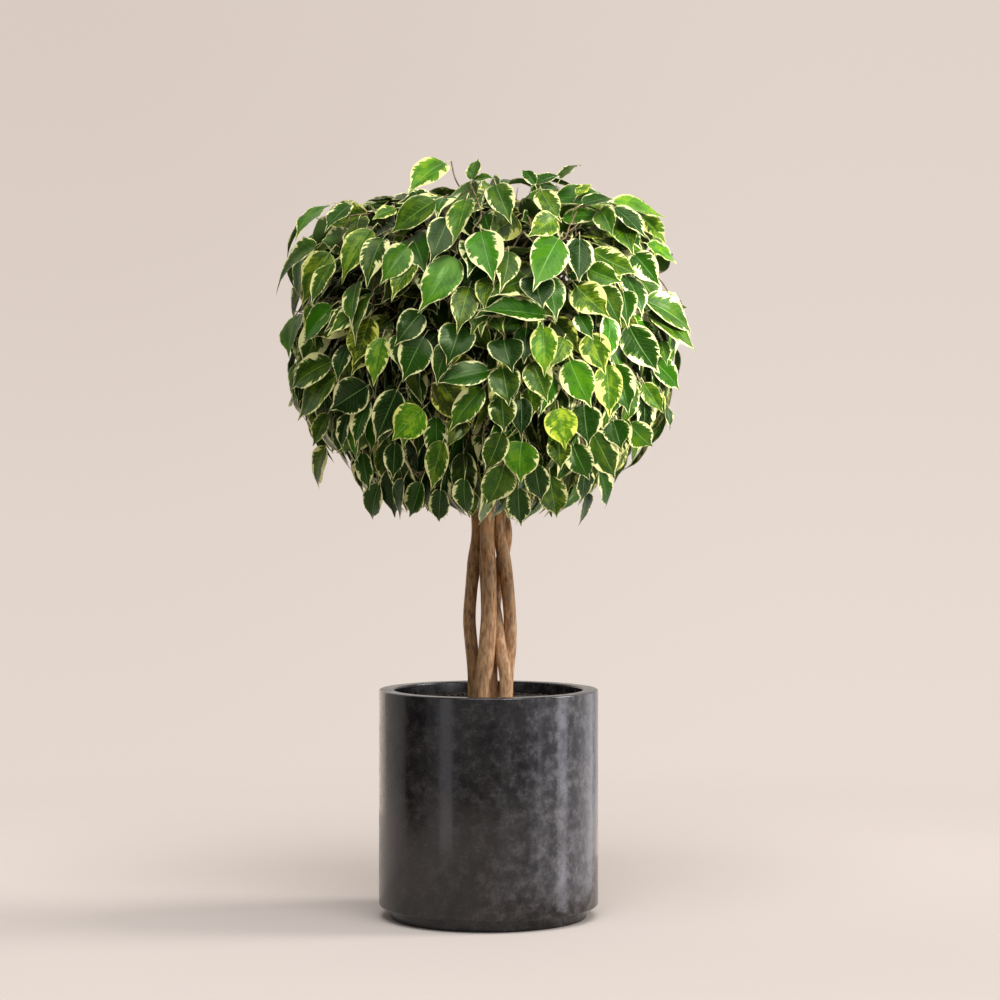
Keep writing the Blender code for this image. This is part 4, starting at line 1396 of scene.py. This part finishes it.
def leaf_middle(s, leaf, past, cloud, ribs, rib):
    """The greens inside the margin: greyish beside it, clouded, yellow in patches, paler on the veins, and
    darkened as painted shade deep in the crown.
    """
    shifted = s.math("ADD", leaf.lane, 9.0)
    second = s.noise(s.vector(s.times(leaf.vein, 22.0), shifted, leaf.across), 1.0, 3.0)
    wash = s.math("MULTIPLY_ADD", second, 0.55, s.times(past, 0.9))
    greyish = s.times(s.step(wash, 0.13, 0.24), s.step(leaf.cream, 0.1, 0.7, 0.25, 0.85))
    middle = s.blend(s.step(leaf.green, 0.0, 0.5), rgb(14, 34, 7), rgb(37, 76, 9))
    middle = s.blend(s.step(leaf.green, 0.45, 1.0), middle, rgb(60, 122, 12))
    middle = s.blend(s.times(greyish, 0.6), middle, rgb(110, 142, 60))
    middle = s.blend(s.step(cloud, 0.42, 0.72, 0.0, 0.55), middle, rgb(16, 44, 8))
    pale = s.step(s.math("ADD", cloud, s.times(second, -0.5)), 0.30, 0.10, 0.15, 1.0)
    middle = s.blend(s.times(leaf.yellow, pale), middle, rgb(176, 196, 52))
    middle = s.blend(s.times(ribs, s.step(cloud, 0.35, 0.6, 0.03, 0.17)), middle, rgb(140, 176, 90))
    middle = s.blend(s.times(rib, 0.45), middle, rgb(128, 170, 88))
    # Painted shade: the greens of leaves deep in the crown are darkened.
    return s.blend(s.times(leaf.deep, 0.50), middle, rgb(9, 24, 6))


def leaf_material():
    """Green middles with teeth of cream that follow the side veins in from the margin."""
    s = Shading("variegated_leaf")
    leaf = leaf_sockets(s)
    past = leaf_margin(s, leaf)
    margin = s.step(past, -0.02, 0.02)
    ribs = s.step(s.math("PINGPONG", s.times(leaf.vein, 12.0), 0.5), 0.07, 0.0)
    rib = s.step(leaf.across, 0.045, 0.015)
    cloud = s.noise(s.vector(s.times(leaf.signed, 2.0), s.times(leaf.along, 3.0), leaf.shift), 1.2, 3.0)
    middle = leaf_middle(s, leaf, past, cloud, ribs, rib)
    rim = s.blend(s.step(leaf.yellow, 0.0, 0.6), rgb(236, 231, 170), rgb(222, 222, 92))
    rim = s.blend(s.times(cloud, 0.30), rim, rgb(196, 206, 124))
    # Painted shade: the cream of leaves deep in the crown is darkened a little.
    rim = s.blend(s.times(leaf.deep, 0.12), rim, rgb(120, 128, 84))
    top = s.blend(margin, middle, rim)
    below = s.blend(s.times(margin, 0.9), rgb(80, 108, 52), rgb(210, 207, 148))
    colour = s.blend(leaf.under, top, below)
    height = s.math("MULTIPLY_ADD", ribs, -0.5, s.times(rib, -1.0))
    gloss = s.math("ADD", s.step(cloud, 0.3, 0.75, 0.20, 0.42), s.times(leaf.under, 0.3))
    s.set(Base_Color=colour, Roughness=gloss, Normal=s.bump(height, 0.35, 0.4 * MM))
    return s.set(Specular_IOR_Level=0.20, Specular_Tint=(0.80, 1.0, 0.55, 1))


def stalk_material():
    """Cream-green leaf stalks, and brown side twigs with paler flecks."""
    s = Shading("twig")
    age, _, _ = s.attribute("look")
    where = s.coordinates()
    mottle = s.noise(where, 220.0, 3.0)
    young = s.blend(mottle, rgb(196, 196, 120), rgb(216, 206, 150))
    old = s.blend(s.step(mottle, 0.35, 0.65), rgb(84, 64, 42), rgb(128, 102, 68))
    colour = s.blend(s.step(age, 0.1, 0.5), young, old)
    return s.set(Base_Color=colour, Roughness=0.6, Normal=s.bump(s.noise(where, 900.0), 0.3, 0.2 * MM))


def bark_material():
    """Smooth brown bark with long streaks, ochre patches and small corky dots, and painted light that makes
    it palest low on the right.
    """
    s = Shading("ficus_bark")
    where = s.coordinates()
    x, y, z = s.split(where)
    streaks = s.noise(s.vector(x, y, s.times(z, 0.22)), 300.0, 6.0, 0.66)
    patches = s.noise(s.vector(x, y, s.times(z, 0.7)), 70.0, 5.0)
    warm = s.noise(where, 34.0, 3.0, 0.6)
    colour = s.blend(s.step(streaks, 0.34, 0.68), rgb(90, 61, 33), rgb(192, 141, 83))
    colour = s.blend(s.step(patches, 0.48, 0.68, 0.0, 0.5), colour, rgb(156, 126, 91))
    colour = s.blend(s.step(warm, 0.50, 0.68, 0.0, 0.45), colour, rgb(178, 130, 66))
    # Painted light: the bark low down and on the right is painted paler, for the light that falls on it
    # there.
    low = s.times(s.step(z, 0.40, 0.30, 0.0, 0.85), s.step(x, -0.018, 0.0))
    pale = s.blend(s.step(streaks, 0.36, 0.64), rgb(186, 132, 86), rgb(250, 204, 152))
    colour = s.blend(low, colour, pale)
    cork = s.step(s.node("TexVoronoi", {"Vector": where, "Scale": 210.0}), 0.16, 0.06)
    colour = s.blend(s.times(cork, 0.45), colour, rgb(178, 150, 112))
    colour = s.blend(s.times(s.step(streaks, 0.36, 0.24), 0.8), colour, rgb(52, 37, 25))
    height = s.math("MULTIPLY_ADD", cork, 0.35, streaks)
    s.set(Base_Color=colour, Roughness=s.step(streaks, 0.3, 0.7, 0.72, 0.5))
    return s.set(Normal=s.bump(height, 0.55, 0.8 * MM))


def concrete_material():
    """Dark, waxed and polished concrete: cloudy, with fine pits, and with pale flecks painted stronger toward
    the right as a painted sheen.
    """
    s = Shading("polished_concrete")
    where = s.coordinates()
    x, _, _ = s.split(where)
    cloud = s.noise(where, 17.0, 8.0, 0.68)
    mottle = s.noise(where, 75.0, 6.0, 0.7)
    grain = s.noise(where, 420.0, 3.0, 0.6)
    # Painted sheen: the pale flecks, and the spread of the gloss, grow toward the right, where the highlights
    # fall.
    painted_sheen_right = s.step(x, -0.06, 0.07, 0.25, 1.0)
    colour = s.blend(s.step(cloud, 0.32, 0.72), rgb(19, 18, 19), rgb(38, 35, 35))
    # Painted sheen: pale flecks, stronger toward the right.
    colour = s.blend(s.times(s.step(mottle, 0.46, 0.74, 0.0, 0.55), painted_sheen_right), colour, rgb(88, 84, 88))
    colour = s.blend(s.step(mottle, 0.44, 0.30, 0.0, 0.35), colour, rgb(10, 9, 10))
    colour = s.blend(s.step(grain, 0.5, 0.8, 0.0, 0.25), colour, rgb(70, 67, 66))
    pores = s.node("TexVoronoi", {"Vector": where, "Scale": 95.0, "Randomness": 1.0})
    pit = s.times(s.step(pores, 0.13, 0.05), s.step(s.noise(where, 26.0, 2.0), 0.52, 0.62))
    colour = s.blend(s.times(pit, 0.85), colour, rgb(14, 13, 13))
    gloss = s.math("ADD", s.step(cloud, 0.34, 0.70, 0.09, 0.22), s.step(mottle, 0.38, 0.70, 0.0, 0.14))
    gloss = s.math("ADD", gloss, s.times(pit, 0.3))
    height = s.math("MULTIPLY_ADD", pit, -1.0, s.times(mottle, 0.06))
    s.set(Base_Color=colour, Roughness=gloss, Normal=s.bump(height, 0.5, 0.5 * MM))
    # The shine's spread also grows toward the right with the painted sheen.
    shine = s.math("MULTIPLY_ADD", s.step(mottle, 0.36, 0.64, -0.17, 0.17), painted_sheen_right, 0.5)
    return s.set(IOR=1.5, Specular_IOR_Level=shine)


def soil_material():
    """Dark crumbs in two browns: the soil's own dark brown, made darker still as painted shade down inside
    the planter.
    """
    s = Shading("potting_mix")
    where = s.coordinates()
    crumbs = s.noise(where, 240.0, 6.0, 0.7)
    patches = s.noise(where, 60.0, 3.0)
    # Painted shade: both browns are darker than the soil's own, for the shade inside the planter.
    colour = s.blend(s.step(crumbs, 0.38, 0.66), rgb(14, 11, 9), rgb(42, 32, 25))
    colour = s.blend(s.step(patches, 0.5, 0.7, 0.0, 0.5), colour, rgb(26, 20, 17))
    return s.set(Base_Color=colour, Roughness=0.95, Normal=s.bump(crumbs, 0.9, 2 * MM))


def chip_material():
    """Bark chips, some of them darker."""
    s = Shading("bark_chip")
    where = s.coordinates()
    grain = s.noise(where, 300.0, 4.0, 0.6)
    tint = s.noise(where, 46.0, 1.0)
    colour = s.blend(s.step(grain, 0.35, 0.7), rgb(30, 21, 16), rgb(66, 47, 34))
    colour = s.blend(s.step(tint, 0.42, 0.6, 0.0, 0.7), colour, rgb(24, 18, 15))
    return s.set(Base_Color=colour, Roughness=0.85, Normal=s.bump(grain, 0.7, 1 * MM))


def object_of(name, mesh, material, smooth_angle=40):
    """An object of this material, shaded smooth but for edges that turn by more than the angle."""
    mesh.materials.append(material)
    mesh.shade_smooth()
    mesh.set_sharp_from_angle(angle=math.radians(smooth_angle))
    return placed(name, mesh)


def turned_mesh(name, profile, sides):
    """Turns an outline of (radius, height) points, from the axis round to the axis, into a closed mesh."""
    bm = bmesh.new()
    points = [bm.verts.new((radius, 0, height)) for radius, height in profile]
    edges = [bm.edges.new(pair) for pair in zip(points, points[1:])]
    bmesh.ops.spin(bm, geom=points + edges, cent=(0, 0, 0), axis=(0, 0, 1), angle=math.tau, steps=sides)
    bmesh.ops.remove_doubles(bm, verts=bm.verts, dist=0.01 * MM)
    bmesh.ops.recalc_face_normals(bm, faces=bm.faces)
    return mesh_of(name, bm)


def rounded(profile, sizes, steps=5):
    """Rounds each inner corner of an outline by its own size."""
    made = [profile[0]]
    for before, corner, after, size in zip(profile, profile[1:], profile[2:], sizes):
        if not size:
            made.append(corner)
            continue
        c, b, a = Vector(corner), Vector(before), Vector(after)
        start = c + (b - c).normalized() * size
        end = c + (a - c).normalized() * size
        for k in range(steps + 1):
            t = k / steps
            made.append(tuple(start * (1 - t) ** 2 + c * 2 * t * (1 - t) + end * t * t))
    return [*made, profile[-1]]


def build_pot(material):
    inner = POT_RADIUS - POT_WALL
    profile = [
        (0, 0), (FOOT_RADIUS, 0), (FOOT_RADIUS, FOOT_HEIGHT), (POT_RADIUS, FOOT_HEIGHT),
        (POT_RADIUS, POT_HEIGHT), (inner, POT_HEIGHT), (inner, POT_FLOOR), (0, POT_FLOOR),
    ]
    sizes = [1.5 * MM, 0.6 * MM, 3.0 * MM, 2.2 * MM, 2.2 * MM, 4 * MM]
    pot = object_of("planter", turned_mesh("planter", rounded(profile, sizes), POT_SIDES), material)
    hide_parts("pot")
    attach(pot, "root")


def soil_height(x, y):
    """The soil's surface: mounded in the middle and lumpy."""
    edge = POT_RADIUS - POT_WALL
    share = min(1.0, math.hypot(x, y) / edge)
    lumps = noise.fractal(Vector((x, y, 0.3)) / SOIL_LUMPS["size"], 1.0, 2.0, 4) * SOIL_LUMPS["height"]
    return SOIL_TOP + SOIL_MOUND * math.cos(math.pi / 2 * share) + lumps * min(1.0, (1 - share) * 8)


def build_soil(material, chip_look):
    edge = POT_RADIUS - POT_WALL - GAP
    rings, sides = SOIL_RINGS, SOIL_SIDES
    bm = bmesh.new()
    middle = bm.verts.new((0, 0, soil_height(0, 0)))
    rows = []
    for k in range(1, rings + 1):
        radius = edge * k / rings
        row = []
        for side in range(sides):
            x, y = radius * math.cos(math.tau * side / sides), radius * math.sin(math.tau * side / sides)
            row.append(bm.verts.new((x, y, soil_height(x, y))))
        rows.append(row)
    low = [bm.verts.new((v.co.x, v.co.y, POT_FLOOR + GAP)) for v in rows[-1]]
    floor = bm.verts.new((0, 0, POT_FLOOR + GAP))
    for side in range(sides):
        after = (side + 1) % sides
        bm.faces.new((middle, rows[0][side], rows[0][after]))
        bm.faces.new((floor, low[after], low[side]))
        for lower, upper in zip([*rows, low], [*rows[1:], low]):
            if lower is not upper:
                bm.faces.new((lower[side], upper[side], upper[after], lower[after]))
    soil = object_of("potting_mix", mesh_of("potting_mix", bm), material, 70)
    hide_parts("soil")
    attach(soil, "root")
    build_chips(chip_look, edge)


def build_chips(material, edge):
    """Bits of bark that lie on the soil, clear of the stems and the wall."""
    draw = random.Random(3)
    feet = [(stem["x"][1] * MM, stem["y"][1] * MM, stem["radii"][0]) for stem in STEMS]
    bm = bmesh.new()
    for _ in range(CHIPS):
        radius, turn = edge * math.sqrt(draw.random()), draw.uniform(0, math.tau)
        x, y = radius * math.cos(turn), radius * math.sin(turn)
        size = draw.uniform(*CHIP_SIZES) * MM
        if radius + size > edge - 1 * MM:
            continue
        if any(math.hypot(x - fx, y - fy) < fr + size + 0.5 * MM for fx, fy, fr in feet):
            continue
        cloud = [Vector([draw.gauss(0, 1) for _ in range(3)]).normalized() for _ in range(12)]
        shape = Matrix.Diagonal((size, size * draw.uniform(0.45, 0.8), size * draw.uniform(0.22, 0.45)))
        turn, tilt = draw.uniform(0, math.tau), draw.gauss(0, 0.35)
        spin = Matrix.Rotation(turn, 3, "Z") @ Matrix.Rotation(tilt, 3, "X")
        place = Vector((x, y, soil_height(x, y) + size * 0.16))
        points = [bm.verts.new(place + spin @ (shape @ point)) for point in cloud]
        made = bmesh.ops.convex_hull(bm, input=points)
        loose = [v for v in made["geom_interior"] + made["geom_unused"] if isinstance(v, bmesh.types.BMVert)]
        bmesh.ops.delete(bm, geom=list(set(loose)), context="VERTS")
    chips = object_of("bark_chips", mesh_of("bark_chips", bm), material, 25)
    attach(chips, "root")


def girth(point, angle, seed):
    """How much the stem swells here: knots, ridges, a flare in the soil and a collar under the crown."""
    knots = noise.noise(Vector((seed * 7.1, 0, point.z / KNOTS[1])))
    turned_to = (math.cos(angle) * 1.2 + seed * 3, math.sin(angle) * 1.2, point.z / RIDGES[1])
    ridges = noise.noise(Vector(turned_to))
    flare = max(0.0, 1 - (point.z - SOIL_TOP) / FLARE[1]) ** 2 if point.z > SOIL_TOP else 1.0
    collar = max(0.0, 1 - abs(point.z - COLLAR_AT) / COLLAR[1])
    return SWELL + KNOTS[0] * knots + RIDGES[0] * ridges + FLARE[0] * flare + COLLAR[0] * collar


def stem_tube(path, radii, sides, seed):
    vertices, faces = tube(path, radii, sides)
    made = []
    for i, vertex in enumerate(vertices):
        ring, side = divmod(i, sides)
        middle = path[ring]
        made.append(middle + (vertex - middle) * girth(middle, math.tau * side / sides, seed))
    return made, faces


def build_stems(plan, material):
    for seed, stem in enumerate(STEMS):
        path = stem_path(stem, BARK_STEPS)
        parts = [stem_tube(path, stem_radii(stem, path), BARK_SIDES, seed)]
        for twig in plan:
            if twig["stem"] == stem["name"]:
                limb = smooth_path(twig["branch"], 5)
                parts.append(tube(limb, (BRANCH_DRAWN_RADIUS, TWIG_RADII[0]), BRANCH_SIDES))
        points, faces = [], []
        for vertices, made in parts:
            faces += [[len(points) + i for i in face] for face in made]
            points += vertices
        mesh = bpy.data.meshes.new(f"{stem['name']}_bark")
        mesh.from_pydata([tuple(p) for p in points], [], faces)
        piece = object_of(f"{stem['name']}_bark", mesh, material, 60)
        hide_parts(stem["name"])
        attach(piece, "root")


def build_stage():
    """The pale floor, which fades into the backdrop behind."""
    s = Shading("floor")
    where = s.coordinates()
    away = s.node("VectorMath", {0: where}, output=1, operation="LENGTH")
    _, y, _ = s.split(where)
    colour = s.blend(s.step(y, -0.5, 0.7), FLOOR_NEAR, FLOOR_FAR)
    s.set(Base_Color=colour, Roughness=0.9, Alpha=s.step(away, *FLOOR_FADE, 1.0, 0.0))
    s.set(Specular_IOR_Level=0.0)
    bm = bmesh.new()
    bmesh.ops.create_circle(bm, cap_ends=True, segments=96, radius=FLOOR_FADE[1] + 0.1)
    object_of("floor", mesh_of("floor", bm), s.material)


def build_world():
    """A backdrop to look at, with painted light and shade that leave it darker to the left and higher up, and
    a studio to be lit by: bright behind and below, dim in front.
    """
    world = bpy.data.worlds.new("studio")
    bpy.context.scene.world = world
    world.use_nodes = True
    s = Nodes(world.node_tree)
    x, y, z = s.split(s.node("TexCoord", {}, output=0))
    # Painted light and shade on the backdrop that the camera sees: darker to the left and higher up.
    left = s.blend(s.step(z, 0.18, -0.14), rgb(217, 203, 194), rgb(229, 216, 207))
    right = s.blend(s.step(z, 0.18, -0.14), rgb(224, 211, 202), rgb(232, 220, 211))
    shown = s.blend(s.step(x, -0.16, 0.12), left, right)
    below = s.blend(s.step(y, -0.2, 0.5), ROOM_BELOW, ROOM_BACK)
    room = s.blend(s.step(y, -0.35, 0.45), ROOM_FRONT, ROOM_BACK)
    room = s.blend(s.step(z, 0.0, -0.12), room, below)
    camera_sees = s.node("LightPath", {}, output=0)
    background = s.tree.nodes["Background"]
    s.feed(background.inputs["Color"], s.blend(camera_sees, room, shown))


def around(azimuth, distance, height):
    a = math.radians(azimuth)
    return Vector((distance * math.cos(a), distance * math.sin(a), height))


def add_light(name, place, target, size, power):
    """A rectangular lamp of this power in watts that isn't seen itself."""
    light = bpy.data.lights.new(name, "AREA")
    light.shape = "RECTANGLE"
    light.size, light.size_y = size
    light.energy = power
    obj = placed(name, light)
    obj.location = place
    obj.rotation_euler = (Vector(target) - Vector(place)).to_track_quat("-Z", "Y").to_euler()
    obj.visible_camera = False
    return obj


def build_lights():
    """The key light, the softbox, a glint, a beam on the crown's right, and strips round the planter."""
    sun = bpy.data.lights.new("key", "SUN")
    sun.energy = KEY["strength"]
    sun.angle = math.radians(KEY["spread"])
    sun.color = KEY["colour"]
    key = placed("key", sun)
    reach = around(KEY["azimuth"], 1, math.tan(math.radians(KEY["elevation"])))
    key.rotation_euler = reach.to_track_quat("Z", "Y").to_euler()
    add_light("softbox", SOFTBOX["place"], SOFTBOX["target"], SOFTBOX["size"], SOFTBOX["power"])
    glint = add_light("glint", GLINT["place"], GLINT["target"], GLINT["size"], GLINT["power"])
    glint.visible_diffuse = False
    beam = add_light("beam", BEAM["place"], BEAM["target"], BEAM["size"], BEAM["power"])
    beam.data.spread = math.radians(BEAM["spread"])
    for name, azimuth, distance, width, low, high, radiance, colour in STRIPS:
        power = radiance * math.pi * width * (high - low)
        height = (low + high) / 2
        middle = around(azimuth, distance, height)
        strip = add_light(name, middle, (0, 0, height), (width, high - low), power)
        strip.visible_diffuse = False
        strip.data.color = colour
    build_card()


def build_card():
    """A black card beside the planter, which shows only as a dark band in its gloss."""
    s = Shading("card")
    s.set(Base_Color=(0.01, 0.01, 0.01, 1), Roughness=1.0)
    mesh = bpy.data.meshes.new("card")
    half, height = CARD["width"] / 2, CARD["height"]
    corners = [(-half, 0, 0.002), (half, 0, 0.002), (half, 0, height), (-half, 0, height)]
    mesh.from_pydata(corners, [], [(0, 1, 2, 3)])
    card = object_of("card", mesh, s.material)
    card.location = around(CARD["azimuth"], CARD["distance"], 0)
    card.rotation_euler.z = math.radians(CARD["azimuth"] + 90)
    card.visible_camera = False
    card.visible_diffuse = False
    card.visible_shadow = False


def build_camera():
    camera = bpy.data.cameras.new("camera")
    camera.sensor_width = SENSOR
    camera.lens = FOCAL / PICTURE * SENSOR
    camera.shift_y = (HORIZON - PICTURE / 2) / PICTURE
    obj = placed("camera", camera)
    obj.location = EYE
    obj.rotation_euler = (math.pi / 2, 0, 0)
    bpy.context.scene.camera = obj


def keep_own_leaves(plan, crowd, front):
    """Hangs the part's low leaves steeper, and keeps those of its leaves that are in nothing's way."""
    for twig in plan:
        kept = []
        for leaf in twig["leaves"]:
            made = hung(leaf) if leaf["frame"][3].z < CROWN_CENTRE.z - HUNG_BELOW else leaf
            if front.hidden_share(made) <= OWN_MOST_HIDDEN and outline_share(tip_of(made)) <= OWN_REACH:
                if not crowd.meets("", *leaf_shape(made)):
                    kept.append(made)
        twig["leaves"] = kept
        for leaf in kept:
            crowd.add("leaf", *leaf_shape(leaf))


def build_crown():
    """Places every leaf and builds the leafy pieces. Gives the plan of the twigs."""
    plan = place_leaves(twig_plan())
    crowd, front = Crowd(), FrontMap()
    shown = place_front_leaves(crowd, front)
    keep_own_leaves(plan, crowd, front)
    for stem in STEMS:
        path = stem_path(stem)
        crowd.add("stem", *tube(path, stem_radii(stem, path), STEM_SIDES))
    share = 1
    fill = place_rim(crowd, front, share)
    fill += place_fill(crowd, front, share)
    build_sprays(plan, shown + fill, [leaf_material(), stalk_material()])
    return plan


def build():
    bpy.context.scene.view_settings.view_transform = "Standard"
    build_camera()
    build_world()
    build_stage()
    build_lights()
    plan = build_crown()
    build_stems(plan, bark_material())
    build_pot(concrete_material())
    build_soil(soil_material(), chip_material())


build()
